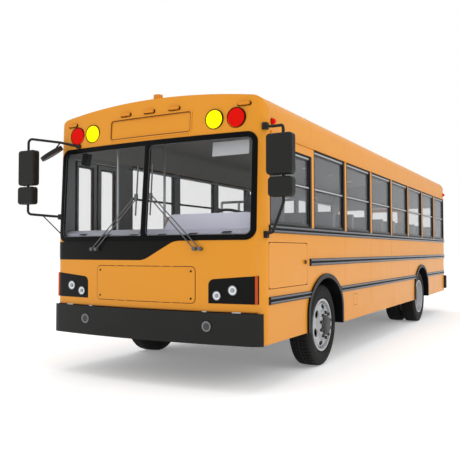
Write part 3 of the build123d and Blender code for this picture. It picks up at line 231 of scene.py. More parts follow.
look = {
    # Satin school-bus paint: warm, evenly bright, a soft sheen from its clear coat
    "bodyPaint": material("body paint satin orange yellow", "D48A1B", 0.42, grainMm=1.2, grainDepth=0.01,
                          coat=0.12, extra={"Specular IOR Level": 0.22}),
    "linedPaint": linedPaint("body paint satin with dark cabin lining", "D48A1B", "7C7D7D", "0E0E0E", 0.42),
    # Enamelled arms: mid grey with a soft narrow highlight along each
    "wiperSteel": material("wiper arm grey enamel", "58595A", 0.4, metallic=0.4),
    # Extruded alloy bars: pale, silky, brighter where they face the sky
    "paleAlloy": material("window bar pale alloy", "B4B6B9", 0.4, metallic=0.5),
    # Moulded trim round the lamps and bumpers: near black, broad dull highlight
    "blackTrim": material("moulded trim fine grained black", "1A1A19", 0.55, grainMm=2.0, grainDepth=0.05,
                          wear=0.2, extra={"Specular IOR Level": 0.2}),
    # Extruded rail caps: black, with a bluish sky sheen along each rib that the crest strips paint on
    "railBlack": material("rub rail semi gloss black", "0A0C0F", 0.22, grainMm=3.0, grainDepth=0.03,
                          extra={"Specular IOR Level": 0.26}),
    # Painted highlight on the crests of the rail ribs: a cool grey line in place of the sky's sheen
    "railPaintedSheen": material("rub rail crest painted sheen grey blue", "4E555F", 0.35),
    # Smooth moulded cowl: the deepest black on the bus, hardly any sheen
    "cowlPlastic": material("cowl moulding smooth black", "060605", 0.45, extra={"Specular IOR Level": 0.12}),
    # Pressed rubber arches: black with a faint soft edge light
    "archRubber": material("wheel arch rubber black", "08090A", 0.4, extra={"Specular IOR Level": 0.14}),
    # Anodised window frames: dark, a thin grey glint on every edge
    "darkFrame": material("aluminium anodised black", "17191C", 0.35, metallic=0.3),
    # Chromed reflector bowls: bright, they mirror floor and sky
    "clearLamp": material("lamp reflector chromed", "C6C9CD", 0.2, metallic=1.0),
    # Moulded clear covers: nearly unseen but for a sharp gleam
    "lensClear": glassMaterial("lamp lens clear polycarbonate", "F2F4F6", 0.75, 1.58),
    # Float glass: seats and rails show through a light grey veil of painted reflection, thicker at the edges
    "clearGlass": glassMaterial("window glass light grey painted reflection", "A4A8AC", 0.9),
    # Laminated windscreen: clearer still, so that the cabin reads through it
    "screenGlass": glassMaterial("windscreen glass near clear", "6E7478", 0.965),
    # Moulded warning lenses: deep even colour that glows a little as light gathers in them
    "redLens": material("lamp lens smooth red", "BE0802", 0.3,
                        extra={"Specular IOR Level": 0.05, "Emission Color": linear("E01202"),
                               "Emission Strength": 0.2}),
    "yellowLens": material("lamp lens smooth yellow", "F6E400", 0.3,
                           extra={"Specular IOR Level": 0.05, "Emission Color": linear("FFF200"),
                                  "Emission Strength": 0.45}),
    # Small moulded side lenses: burnt amber, quiet against the paint
    "amberLens": material("lamp lens smooth amber", "B8440C", 0.3, extra={"Specular IOR Level": 0.2}),
    # Roof lenses: close to the paint's own orange, a touch glossier
    "beaconLens": material("beacon lens orange", "D0821A", 0.3, coat=0.05,
                           extra={"Specular IOR Level": 0.2}),
    # Ribbed rubber mat: matt charcoal, fine lines run the length of the aisle
    "floorCover": ribbedMaterial("floor rubber ribbed charcoal", "3A3B3D", 18, "X", 0.7),
    # Brushed-on chassis paint: uneven satin black, dusty in patches
    "chassisPaint": material("chassis paint satin black", "202122", 0.5, grainMm=4.0, grainDepth=0.1,
                             wear=0.4),
    # Powder coated cases: dark grey with a fine orange-peel skin
    "batteryCase": material("battery case powder coated graphite", "3B3D40", 0.55, grainMm=1.0,
                            grainDepth=0.06, wear=0.3),
    # Moulded ABS dash: pale lavender grey, soft and grained under the glass
    "dashPlastic": material("dash moulding lavender grey", "C3C4D2", 0.5, grainMm=1.5, grainDepth=0.06),
    # Foam-moulded rim of the wheel: black, dull from hands
    "gripBlack": material("steering grip soft black", "1E1E20", 0.5, grainMm=1.0, grainDepth=0.05),
    # Embossed vinyl: leather-like grain that breaks up the highlight
    "seatVinyl": material("seat vinyl dark grey", "3F4144", 0.48, grainMm=2.5, grainDepth=0.15, wear=0.2),
    "tanVinyl": material("seat vinyl tan", "A2713F", 0.48, grainMm=2.5, grainDepth=0.15, wear=0.2),
    # Brushed stainless tube: a bright line along its length
    "railSteel": material("grab tube brushed steel", "9A9C9F", 0.3, metallic=1.0),
    # Cast bezels: mid grey metal ring that sets the lamps off the black
    "bezelGrey": material("lamp bezel cast aluminium grey", "77797C", 0.35, metallic=0.8),
    # Padded vinyl visors: pale and flat behind the glass
    "visorVinyl": material("sun visor pale grey vinyl", "B4B5B8", 0.6, grainMm=2.0, grainDepth=0.1),
    # Sprayed silver paint on pressed steel: soft metallic, greyed by brake dust
    "wheelSteel": material("wheel silver paint", "AEB0B3", 0.38, metallic=0.3, grainMm=1.5, grainDepth=0.02,
                           wear=0.35),
    # Worn tyre rubber: matt black, rough enough to hold no clear highlight
    "tyreRubber": material("tyre rubber worn black", "10100F", 0.75, grainMm=2.0, grainDepth=0.2, wear=0.2,
                           extra={"Specular IOR Level": 0.25}),
    # Extruded gaskets: the blackest line round each pane, also painted shade by the bumper and roof markers
    "gasketRubber": material("gasket rubber black and painted shade", "030303", 0.4, grainMm=2.0, grainDepth=0.04,
                             extra={"Specular IOR Level": 0.08}),
    # Glued headliner felt: flat warm grey, no highlight at all
    "liner": material("headliner dark felt", "8A8A86", 0.85, grainMm=3.0, grainDepth=0.2),
    # Moulded polypropylene: plain white with a mild sheen; also painted light in the gap above the bumper
    "whiteAndGapLight": material("moulded plastic white and painted gap light", "E8E8E4", 0.4),
    # Zinc plated fasteners: small bright grey points
    "zinc": material("fastener zinc plated steel", "A8A9A6", 0.32, metallic=1.0),
    # Rough cast iron: brown black, lost in the shade of the wheel
    "castIron": material("brake drum cast iron dark", "161514", 0.8, wear=0.5),
    # Dark brown: a joint line round the access panel deepened by painted shade, painted shade in the sign
    # recess and painted shadow under the drip mouldings
    "sealant": material("joint sealant dark brown", "553207", 0.7),
    # Unlit depth behind slots and vents
    "darkHole": material("recess unlit black", "0C0C0C", 0.9),
    # Silvered glass: a clean mirror
    "mirrorFace": material("mirror silvered glass", "F0F2F4", 0.02, metallic=1.0),
    # Moulded rubber nosing: flat warning yellow on each step edge
    "stepEdge": material("step nosing yellow rubber", "E6C21E", 0.6, grainMm=3.0, grainDepth=0.2),
}

nodeLooks = {
    "linedPaint": ["front_panel", "front_header", "rear_wall", "left_side_panel", "right_side_panel",
                   "window_posts", "door_front_leaf", "door_rear_leaf"],
    "wiperSteel": ["wipers"],
    "bodyPaint": ["access_panel", "roof", "driver_hatch", "charge_flap", "emergency_door"],
    "beaconLens": ["marker_lamps"],
    "blackTrim": ["bumpers", "left_mirrors", "right_mirrors"],
    "cowlPlastic": ["front_trim"],
    "archRubber": ["wheel_arches"],
    "railBlack": ["rub_rails"],
    "gasketRubber": ["windscreen_gasket"],
    "darkFrame": ["window_frames"],
    "clearLamp": ["clear_lamps"],
    "screenGlass": ["windscreen_glass"],
    "clearGlass": ["side_glass", "door_front_glass", "door_rear_glass", "emergency_glass"],
    "redLens": ["red_lamps"],
    "yellowLens": ["yellow_lamps"],
    "floorCover": ["floor", "entrance_steps"],
    "chassisPaint": ["chassis_frame", "front_axle", "rear_axle", "left_knuckle", "right_knuckle", "tie_rod"],
    "batteryCase": ["battery_packs"],
    "dashPlastic": ["dashboard"],
    "gripBlack": ["steering_wheel"],
    "seatVinyl": ["left_benches", "driver_seat"],
    "tanVinyl": ["right_benches"],
    "railSteel": ["grab_rails"],
    "wheelSteel": ["left_front_wheel", "right_front_wheel", "left_rear_wheels", "right_rear_wheels"],
}
for key, names in nodeLooks.items():
    for name in names:
        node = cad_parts[name]
        node.data.materials.clear()
        node.data.materials.append(look[key])
print("materials on the CAD nodes")


# One object from several (points, faces) parts in millimetres, riding on a body
def piece(name, rides, parts, key, bevel=0.0, smooth=35):
    points, faces = [], []
    for partPoints, partFaces in parts:
        first = len(points)
        points += [tuple(c / 1000 for c in p) for p in partPoints]
        faces += [[first + i for i in f] for f in partFaces]
    mesh = bpy.data.meshes.new(name)
    mesh.from_pydata(points, [], faces)
    mesh.validate()
    mesh.materials.append(look[key])
    made = bpy.data.objects.new(name, mesh)
    bpy.context.scene.collection.objects.link(made)
    mesh.shade_smooth()
    mesh.set_sharp_from_angle(angle=radians(smooth))
    if bevel:
        edge = made.modifiers.new("soft edges", "BEVEL")
        edge.width = bevel / 1000
        edge.segments = 2
        edge.limit_method = "ANGLE"
        edge.angle_limit = radians(40)
    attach(made, rides)
    return made


# Ring turned about an axis from (along, radius) points; ends on the axis close it
def lathed(profile, centre, axis, steps=40):
    axis = Vector(axis).normalized()
    side = axis.orthogonal().normalized()
    up = axis.cross(side)
    points, faces = [], []
    for i in range(steps):
        turn = 2 * pi * i / steps
        out = side * cos(turn) + up * sin(turn)
        points += [tuple(Vector(centre) + axis * a + out * r) for a, r in profile]
    count = len(profile)
    for i in range(steps):
        here, there = i * count, (i + 1) % steps * count
        for j in range(count - 1):
            faces.append([here + j, there + j, there + j + 1, here + j + 1])
    return points, faces


# Turned cap: like lathed, closed by one face at each open end
def domed(profile, centre, axis, steps=40):
    points, faces = lathed(profile, centre, axis, steps)
    count = len(profile)
    faces.append([i * count for i in range(steps)][::-1])
    faces.append([i * count + count - 1 for i in range(steps)])
    return points, faces


# Box between two opposite corners
def boxed(low, high):
    x0, y0, z0 = low
    x1, y1, z1 = high
    points = [(x, y, z) for x in (x0, x1) for y in (y0, y1) for z in (z0, z1)]
    faces = [[0, 1, 3, 2], [4, 6, 7, 5], [0, 4, 5, 1], [2, 3, 7, 6], [0, 2, 6, 4], [1, 5, 7, 3]]
    return points, faces


# Box on one side of the bus between two distances from its middle
def sideBox(side, near, far, y0, y1, z0, z1):
    x0, x1 = sorted((side * near, side * far))
    return boxed((x0, y0, z0), (x1, y1, z1))


# Faces between rings of points that follow each other
def ringFaces(rings, count):
    faces = []
    for first in range(0, (rings - 1) * count, count):
        for i in range(count):
            after = (i + 1) % count
            faces.append([first + i, first + after, first + count + after, first + count + i])
    return faces


# Pad that follows the bowed nose between two places and heights
def nosePad(x0, x1, z0, z1, proud, sunk, steps=6):
    points, faces = [], []
    for i in range(steps + 1):
        x = x0 + (x1 - x0) * i / steps
        for z in (z0, z1):
            out = noseOut(x, z)
            seat = Vector((x, noseY(x, z), z))
            points += [tuple(seat + out * proud), tuple(seat - out * sunk)]
    for i in range(steps):
        a, b = i * 4, i * 4 + 4
        faces += [[a, b, b + 2, a + 2], [a + 1, a + 3, b + 3, b + 1],
                  [a, a + 1, b + 1, b], [a + 2, b + 2, b + 3, a + 3]]
    faces += [[0, 2, 3, 1], [steps * 4, steps * 4 + 1, steps * 4 + 3, steps * 4 + 2]]
    return points, faces


# Six-sided bolt head with a chamfered top and a washer
def hexHead(centre, axis, radius, height):
    washer = domed([(0, radius * 1.35), (height * 0.25, radius * 1.35)], centre, axis, 18)
    head = domed([(height * 0.25, radius), (height * 0.85, radius), (height, radius * 0.82)], centre, axis, 6)
    return [washer, head]


# Flat strip along a path: width across, raised by height along each point's outward direction
def strip(path, width, height, outs):
    points, faces = [], []
    for i, place in enumerate(path):
        before, after = path[max(i - 1, 0)], path[min(i + 1, len(path) - 1)]
        along = (Vector(after) - Vector(before)).normalized()
        out = Vector(outs[i]).normalized()
        across = along.cross(out).normalized() * width / 2
        seat = Vector(place)
        points += [tuple(seat - across), tuple(seat - across * 0.8 + out * height),
                   tuple(seat + across * 0.8 + out * height), tuple(seat + across)]
    for i in range(len(path) - 1):
        a, b = i * 4, i * 4 + 4
        faces += [[a + j, b + j, b + j + 1, a + j + 1] for j in range(3)]
    faces += [[0, 1, 2, 3], [len(points) - 1, len(points) - 2, len(points) - 3, len(points) - 4]]
    return points, faces


# Tyres with ribs, grooves and shoulder blocks
tyreSizes = {"radius": 465, "crownDrop": 4, "grooveDepth": 11, "grooveWidth": 10,
             "grooves": (62, 21, -21, -62), "blocks": 58, "notchDepth": 8,
             "notchStops": (0.0, 0.66, 0.7, 0.96), "sideRing": 1.6}


def tyreParts(x, y):
    size = tyreSizes
    side = [(101, 284), (101, 300), (110, 314), (117, 328), (118.5, 331), (121, 340), (126, 360), (127, 372),
            (127 - size["sideRing"], 376), (127, 380), (126, 396), (122, 414), (117, 430), (111, 444),
            (104.5, 456)]
    crown = [(97, 460.5)]
    for groove in size["grooves"]:
        half = size["grooveWidth"] / 2
        for a, deep in ((groove + half, 0), (groove + half - 2, 1),
                        (groove - half + 2, 1), (groove - half, 0)):
            crown.append((a, size["radius"] - size["crownDrop"] * (a / 94) ** 2 - deep * size["grooveDepth"]))
    crown.append((-97, 460.5))
    profile = side + crown + [(-a, r) for a, r in side[::-1]] + [(-101, 284), (0, 283), (101, 284)]
    stops = [(block + part) / size["blocks"]
             for block in range(size["blocks"]) for part in size["notchStops"]]
    points, faces = [], []
    count = len(profile)
    for i, stop in enumerate(stops):
        turn = 2 * pi * stop
        low = i % 4 in (2, 3)  # the floor of a notch
        for a, r in profile:
            if low and (abs(a) > size["grooves"][1] + 4 and r > 458 or abs(a) > 90 and r > 450):
                r -= size["notchDepth"]
            points.append((x + a, y + r * sin(turn), wheels["z"] + r * cos(turn)))
    for i in range(len(stops)):
        here, there = i * count, (i + 1) % len(stops) * count
        faces += [[here + j, here + j + 1, there + j + 1, there + j] for j in range(count - 1)]
    return points, faces


for side, word in sides:
    front = piece(f"{word}_front_tread", f"{word}_front_roller",
                  [tyreParts(side * wheels["outerX"], wheels["frontY"])], "tyreRubber")
    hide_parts(f"{word}_front_tyre")
    rear = piece(f"{word}_rear_treads", f"{word}_rear_roller",
                 [tyreParts(side * wheels[key], wheels["rearY"]) for key in ("outerX", "innerX")],
                 "tyreRubber")
    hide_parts(f"{word}_rear_tyres")
print("tyres")

# Hubs: dark nut covers and hub caps, and the brake drum that darkens the hand holes
hubSizes = {"studCircle": 142.5, "studs": 10, "cover": [(0, 24), (5, 24), (6, 19), (27, 18), (30, 14)]}
hubTable = (  # word, place along the bus, nut seat, cap profile, drum profile
    ("front", wheels["frontY"], 143,
     [(152, 113), (168, 110), (179, 99), (181, 78), (186, 74), (188, 40), (188, 0)],
     [(-55, 205), (48, 205), (50, 200), (50, 96), (44, 96), (44, 196), (-55, 196)]),
    ("rear", wheels["rearY"], -134, [(-20, 103), (-17, 81), (35, 81), (42, 64), (44, 40), (44, 0)],
     [(-300, 215), (-185, 215), (-180, 210), (-180, 118), (-186, 118), (-186, 206), (-300, 206)]),
)
for side, word in sides:
    for end, y, seatX, capProfile, drumProfile in hubTable:
        centre = (side * wheels["outerX"], y, wheels["z"])
        covers = [lathed(capProfile, centre, (side, 0, 0), 40)]
        for i in range(hubSizes["studs"]):
            turn = 2 * pi * i / hubSizes["studs"]
            spot = Vector(centre) + Vector((side * seatX, hubSizes["studCircle"] * sin(turn),
                                            hubSizes["studCircle"] * cos(turn)))
            covers.append(domed(hubSizes["cover"], spot, (side, 0, 0), 12))
        piece(f"{word}_{end}_hub_covers", f"{word}_{end}_roller", covers, "chassisPaint")
        piece(f"{word}_{end}_brake_drum", f"{word}_{end}_roller",
              [lathed(drumProfile, centre, (side, 0, 0), 56)], "castIron")

# Front wheels: rim, cone with six large hand holes and hub, in the place of the plain solids
discSizes = {"holes": 6, "start": 100, "rowIn": 178, "rowOut": 240, "holeRow": 208, "holeDeep": 29,
             "holeTurn": 14.5, "face": 120, "slope": 16 / 60, "thick": 12, "lip": 0.12, "ring": 32}


def discParts(x, y, side):
    size = discSizes
    points, faces = [], []

    def spot(turn, r, back):
        along = size["face"] - size["slope"] * (r - size["rowIn"]) - back
        return x + side * along, y - side * r * cos(radians(turn)), wheels["z"] + r * sin(radians(turn))

    for hole in range(size["holes"]):
        middle = size["start"] + 360 / size["holes"] * hole
        first = len(points)
        for t, back in ((0, 0), (size["lip"], 0), (1, 0), (1, size["thick"]), (size["lip"], size["thick"]),
                        (0, size["thick"])):
            for k in range(size["ring"]):
                around = 2 * pi * k / size["ring"]
                reach = 1 / max(abs(cos(around)), abs(sin(around)))
                innerTurn = size["holeTurn"] * cos(around)
                innerR = size["holeRow"] + size["holeDeep"] * sin(around)
                outerTurn = 180 / size["holes"] * cos(around) * reach
                outerR = ((size["rowIn"] + size["rowOut"])
                          + (size["rowOut"] - size["rowIn"]) * sin(around) * reach) / 2
                points.append(spot(middle + innerTurn + (outerTurn - innerTurn) * t,
                                   innerR + (outerR - innerR) * t, back))
        for a, b in ((0, 1), (1, 2), (3, 4), (4, 5), (5, 0)):
            for k in range(size["ring"]):
                n = (k + 1) % size["ring"]
                faces.append([first + a * size["ring"] + k, first + a * size["ring"] + n,
                              first + b * size["ring"] + n, first + b * size["ring"] + k])
    return points, faces


flangeR, beadR = 298, 284
rimProfile = [(-118, flangeR), (-104, flangeR), (-102, beadR), (-40, beadR - 4), (-30, 262), (30, 262),
              (40, beadR - 4), (102, beadR), (104, flangeR), (118, flangeR), (118, flangeR - 20),
              (50, beadR - 20), (38, 249), (-38, 249), (-50, beadR - 20), (-118, flangeR - 20),
              (-118, flangeR)]
coneEdge = [(56, 268), (76, 268), (103.5, 239), (92, 238), (66, 252), (56, 252), (56, 268)]
hubProfile = [(119.5, 179), (148, 165), (153, 112), (174, 104), (182, 62), (182, 1), (160, 1), (160, 35),
              (-22, 35), (-22, 88), (100, 88), (108, 179), (119.5, 179)]
for side, word in sides:
    centre = (side * wheels["outerX"], wheels["frontY"], wheels["z"])
    parts = [lathed(profile, centre, (side, 0, 0), 72) for profile in (rimProfile, coneEdge, hubProfile)]
    parts.append(discParts(side * wheels["outerX"], wheels["frontY"], side))
    made = piece(f"{word}_front_rim_and_disc", f"{word}_front_roller", parts, "wheelSteel",
                 bevel=1.2)
    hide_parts(f"{word}_front_wheel")
print("wheels")

# Lamps: rims, reflector bowls, lenses and grilles
lampSizes = {"red": (1002, 2592, 92), "yellow": (769, 2595, 90), "outerHead": (1003, 947, 47),
             "innerHead": (842, 894, 44), "fog": (753, 604, 48), "fogSkin": 600, "fogProud": 42,
             "bars": 3, "barPitch": 9, "tailX": 1150, "tail": ((1370, 90), (1180, 80), (1010, 62))}
rims = []
for side in (-1, 1):
    for key in ("red", "yellow"):
        x, z, radius = lampSizes[key]
        profile = [(-12, radius + 1), (9, radius + 1), (12, radius + 3), (11, radius + 8), (-12, radius + 10)]
        rims.append(lathed(profile, (side * x, noseY(x, z), z), (0, -1, 0), 64))
        profile = [(0, radius + 9), (9, radius + 8), (11, radius + 3), (9, radius + 1), (0, radius + 1)]
        rims.append(lathed(profile, (side * x, body["tail"], z), (0, 1, 0), 64))
    for z, radius in lampSizes["tail"]:
        profile = [(0, radius + 9), (12, radius + 8), (15, radius + 4), (13, radius + 1), (0, radius + 1)]
        rims.append(lathed(profile, (side * lampSizes["tailX"], body["tail"], z), (0, 1, 0), 56))
piece("lamp_rims", "bus", rims, "gasketRubber")

headRims, headLenses, fogRims, fogWellShades = [], [], [], []
for side in (-1, 1):
    for key in ("outerHead", "innerHead"):
        x, z, radius = lampSizes[key]
        face = (side * x, noseY(x, z) - 12, z)
        profile = [(-8, radius + 2), (1, radius + 2), (3, radius - 1), (2, radius - 5), (0.2, radius - 7)]
        headRims.append(lathed(profile, face, (0, -1, 0), 48))
        profile = [(0.2, radius * 0.45), (5, radius * 0.45), (7, radius * 0.4)]
        headRims.append(domed(profile, face, (0, -1, 0), 32))
        profile = [(3, radius * 0.4), (9, radius * 0.33), (12, radius * 0.2), (13, radius * 0.05)]
        headLenses.append(domed(profile, face, (0, -1, 0), 32))
    x, z, radius = lampSizes["fog"]
    face = (side * x, noseY(x, lampSizes["fogSkin"]) - lampSizes["fogProud"], z)
    profile = [(-6, radius + 1), (3, radius + 1), (5, radius - 4), (3, radius - 13), (0.3, radius - 14)]
    fogRims.append(lathed(profile, face, (0, -1, 0), 48))
    fogWellShades.append(domed([(0.3, radius - 14), (1.2, radius - 15)], face, (0, -1, 0), 40))
    for i in range(-lampSizes["bars"], lampSizes["bars"] + 1):
        barZ = z + i * lampSizes["barPitch"]
        reach = sqrt((radius - 16) ** 2 - (barZ - z) ** 2)
        fogRims.append(boxed((face[0] - reach, face[1] - 3.4, barZ - 1.2),
                             (face[0] + reach, face[1] - 1, barZ + 1.2)))
piece("headlamp_bezels", "bus", headRims, "bezelGrey")
piece("headlamp_lenses", "bus", headLenses, "lensClear")
piece("fog_lamp_rings", "bus", fogRims, "bezelGrey")
# Painted shade: black discs for the unlit wells of the fog lamps
piece("fog_lamp_wells", "bus", fogWellShades, "darkHole")

# Roof marker gaskets, grown and let down so that a black rim under each lens is painted shadow, partly real
# gasket
markerSizes = {"places": ((0, 2755), (307, 2755), (-307, 2755), (1084, 2722), (-1084, 2722)), "half": 46,
               "radius": 19, "drop": 3, "rings": ((1.12, 0.5), (1.12, 6), (0.9, 7)), "steps": 32}
markerGasketsAndShadows = []
for x, z in markerSizes["places"]:
    low, steps = z - markerSizes["drop"], markerSizes["steps"]
    turns = [2 * pi * i / steps for i in range(steps)]
    outline = [((markerSizes["half"] if cos(turn) > 0 else -markerSizes["half"])
                + markerSizes["radius"] * cos(turn), markerSizes["radius"] * sin(turn)) for turn in turns]
    points = [(x + a * grow, noseY(x + a * grow, low + b * grow) - out, low + b * grow)
              for grow, out in markerSizes["rings"] for a, b in outline]
    markerGasketsAndShadows.append((points, ringFaces(3, steps)))
piece("marker_gaskets_and_painted_shadow", "bus", markerGasketsAndShadows, "gasketRubber")

beacon = {"y": nose + 130, "foot": 2896,
          "profile": [(0, 50), (40, 50), (50, 47), (57, 38), (60, 12)]}
piece("beacon_lens", "bus", [domed(beacon["profile"], (0, beacon["y"], beacon["foot"]), (0, 0, 1), 40)],
      "beaconLens")

# Small front pieces: amber side strips, painted light in the bumper gap and screws of the access panel
frontSizes = {"amber": (1219, 1245, 820, 1083), "gapLights": ((1036, 45), (709, 22)), "gapLightZ": (731, 744),
              "screwX": (-565, 565), "screwZ": (858, 1121)}
amber, gapLights = [], []
for side in (-1, 1):
    x0, x1, z0, z1 = frontSizes["amber"]
    amber.append(nosePad(side * x0, side * x1, z0, z1, 4, 2))
    for x, reach in frontSizes["gapLights"]:
        gapLights.append(nosePad(side * x - reach, side * x + reach, *frontSizes["gapLightZ"], 3, 6))
piece("corner_reflectors", "bus", amber, "amberLens", bevel=1.5)
piece("bumper_gap_painted_light", "bus", gapLights, "whiteAndGapLight", bevel=1.0)

screws = []
for x in frontSizes["screwX"]:
    for z in frontSizes["screwZ"]:
        seat = Vector((x, noseY(x, z), z)) + noseOut(x, z) * 4
        screws.append(domed([(-1, 11), (2, 10), (3.5, 6)], seat, noseOut(x, z), 20))
piece("panel_screws", "bus", screws, "gasketRubber")

# Beads laid on the nose round the panes, the access panel and the blank sign; the dark brown ones are painted
# shade
beadTable = (  # name, corners (x0, x1, z0, z1), corner radius, width, height, sunk, look, slot
    ("pane_bead_left", (31, 1172, 1476, 2393), 50, 6, 4, 0, "wiperSteel", "black_trim"),
    ("pane_bead_right", (-1172, -31, 1476, 2393), 50, 6, 4, 0, "wiperSteel", "black_trim"),
    ("access_panel_joint_and_shade", (-612, 612, 813.5, 1166.5), 45, 10, 1.2, 1.0, "sealant", "black_trim"),
    ("access_panel_lip", (-603, 603, 822, 1158), 38, 11, 5, 0, "bodyPaint", "body_paint"),
    ("sign_lip", (-513, 513, 2488, 2713), 34, 15, 9, 0, "bodyPaint", "body_paint"),
    ("sign_recess_painted_shade", (-501, 501, 2500, 2701), 28, 10, 1.6, 0, "sealant", "black_trim"),
)
for name, (x0, x1, z0, z1), corner, width, height, sunk, key, slotName in beadTable:
    places = []
    for cx, cz, start in ((x1 - corner, z1 - corner, 0), (x0 + corner, z1 - corner, 90),
                          (x0 + corner, z0 + corner, 180), (x1 - corner, z0 + corner, 270)):
        places += [(cx + corner * cos(radians(start + a)), cz + corner * sin(radians(start + a)))
                   for a in range(0, 91, 15)]
        ex, ez = places[-1]
        turnX, turnZ = -sin(radians(start + 90)), cos(radians(start + 90))
        run = (x1 - x0 if abs(turnX) > 0.5 else z1 - z0) - 2 * corner
        places += [(ex + turnX * run * k / 8, ez + turnZ * run * k / 8) for k in range(1, 8)]
    places.append(places[0])
    outs = [noseOut(x, z) for x, z in places]
    path = [Vector((x, noseY(x, z), z)) - out * sunk for (x, z), out in zip(places, outs)]
    piece(name, "bus", [strip(path, width, height, outs)], key)

# Red side marker lamps on black bases
sideMarkPlaces = ((nose + 185, 2556), (nose + 9005, 2540))  # place along the bus, height
sideMarks, sideBases = [], []
for y, z in sideMarkPlaces:
    for side in (-1, 1):
        seat = (side * (body["half"] - 10), y, z)
        sideBases.append(domed([(0, 36), (12, 35), (14, 31)], seat, (side, 0, 0), 32))
        sideMarks.append(domed([(13, 30), (30, 29), (42, 22), (48, 8)], seat, (side, 0, 0), 32))
piece("side_marker_bases", "bus", sideBases, "gasketRubber")
piece("side_marker_lenses", "bus", sideMarks, "redLens")
print("lamps")

# Painted shade: a black strip in the gap above the front bumper
gapSizes = {"reach": 1236, "low": 722, "high": 741, "proud": 1.5, "sunk": 4}
gap = nosePad(-gapSizes["reach"], gapSizes["reach"], gapSizes["low"], gapSizes["high"], gapSizes["proud"],
              gapSizes["sunk"], steps=16)
piece("bumper_gap_painted_shade", "bus", [gap], "gasketRubber")

# Drip moulding along each gutter, with a dark brown strip of painted shadow under it
dripSizes = {"low": 2447, "high": 2463, "proud": 15, "joint": 12, "start": nose + 150,
             "end": body["tail"] - 60}
drips, dripShadows = [], []
for side, word in sides:
    for parts, low, high, proud in ((drips, dripSizes["low"], dripSizes["high"], dripSizes["proud"]),
                                    (dripShadows, dripSizes["low"] - dripSizes["joint"], dripSizes["low"], 1.5)):
        parts.append(sideBox(side, body["half"] - 2, body["half"] + proud,
                             dripSizes["start"], dripSizes["end"], low, high))
piece("drip_mouldings", "bus", drips, "bodyPaint", bevel=3)
piece("drip_painted_shadows", "bus", dripShadows, "sealant")

# Painted highlight: grey lines on the crests of the two ribs of each rub rail; painted shade: black lines in
# the groove between them and along the foot
railSizes = {"crest": body["half"] + 19.6, "groove": body["half"] + 7, "foot": body["half"] + 5,
             "crestWidth": 12, "grooveWidth": 10, "footWidth": 6, "gap": 8}
railRuns = (  # side, bottom, top, ends of each stretch along the bus
    (1, 1488, 1562, ((nose + 104, nose + 9025),)),
    (1, 1152, 1232, ((nose + 1128, nose + 9025),)),
    (1, 808, 884, ((nose + 104, nose + 1122), (nose + 2128, nose + 6207), (nose + 7213, nose + 9025))),
    (-1, 1488, 1562, ((nose + 1013, nose + 9025),)),
    (-1, 1152, 1232, ((nose + 1013, nose + 9025),)),
    (-1, 808, 884, ((nose + 2128, nose + 6207), (nose + 7213, nose + 9025))),
)
crests, grooves = [], []
for side, low, high, runs in railRuns:
    middle = (low + high) / 2
    for start, end in runs:
        ends = (start + railSizes["gap"], end - railSizes["gap"])
        lines = ((crests, "crest", "crestWidth", (middle + high) / 2 + 6, 0.8),
                 (crests, "crest", "crestWidth", (middle + low) / 2 + 2, 0.8),
                 (grooves, "groove", "grooveWidth", middle, 0.5),
                 (grooves, "foot", "footWidth", low + 3, 0.5))
        for parts, seat, width, z, proud in lines:
            parts.append(strip([(side * railSizes[seat], y, z) for y in ends], railSizes[width], proud,
                               [(side, 0, 0)] * 2))
piece("rail_crest_painted_sheen", "bus", crests, "railPaintedSheen")
piece("rail_groove_painted_shade", "bus", grooves, "darkHole")

# Panel seams: lap strips over the roof and down the sides, with rivets
seamSizes = {"roofWidth": 26, "sideWidth": 7, "height": 1.0, "rivet": 4.5, "rivetPitch": 95,
             "rivetRow": 14, "rivetStart": 20, "roofSplit": 7, "ends": [nose + 300, body["tail"] - 120]}
sideSeams = (  # top, bottom, distances behind the nose
    (808, 445, (3459, 4705, 2333, 7950)),
    (1152, 884, (2333, 3454, 4575, 5696)),
    (1488, 1232, (2333, 3454, 4575, 5696, 7938)),
)
roofStrips, rivets = [], []
section = roofLine(0)
for y in windowPosts + seamSizes["ends"]:
    path = [(x, y, z) for x, z in section]
    outs = []
    for i, (x, z) in enumerate(section):
        before, after = section[max(i - 1, 0)], section[min(i + 1, len(section) - 1)]
        outs.append((-(after[1] - before[1]), 0, after[0] - before[0]))
    outs = [(-o[0], 0, -o[2]) if o[2] < 0 or (abs(o[2]) < 1e-6 and o[0] * section[i][0] < 0) else o
            for i, o in enumerate(outs)]
    roofStrips.append(strip(path, seamSizes["roofWidth"], seamSizes["height"], outs))
    for i in range(0, len(path), 2):
        for shift in (-seamSizes["roofSplit"], seamSizes["roofSplit"]):
            out = Vector(outs[i]).normalized()
            seat = Vector(path[i]) + Vector((0, shift, 0)) + out * seamSizes["height"]
            rivets.append(domed([(-0.6, seamSizes["rivet"]), (0.8, 3.4), (1.6, 1.5)], seat, outs[i], 8))
for side in (-1, 1):
    for top, foot, places in sideSeams:
        for place in places:
            y = nose + place
            path = [(side * body["half"], y, z) for z in (top, (top + foot) / 2, foot)]
            roofStrips.append(strip(path, seamSizes["sideWidth"], seamSizes["height"], [(side, 0, 0)] * 3))
            for i in range((top - foot) // seamSizes["rivetPitch"] + 1):
                seat = (side * body["half"], y - seamSizes["rivetRow"],
                        foot + seamSizes["rivetStart"] + i * seamSizes["rivetPitch"])
                rivets.append(domed([(-0.4, seamSizes["rivet"]), (1.2, 3.4), (2.0, 1.5)],
                                    seat, (side, 0, 0), 8))
piece("panel_seams", "bus", roofStrips, "bodyPaint")
piece("panel_rivets", "bus", rivets, "bodyPaint")

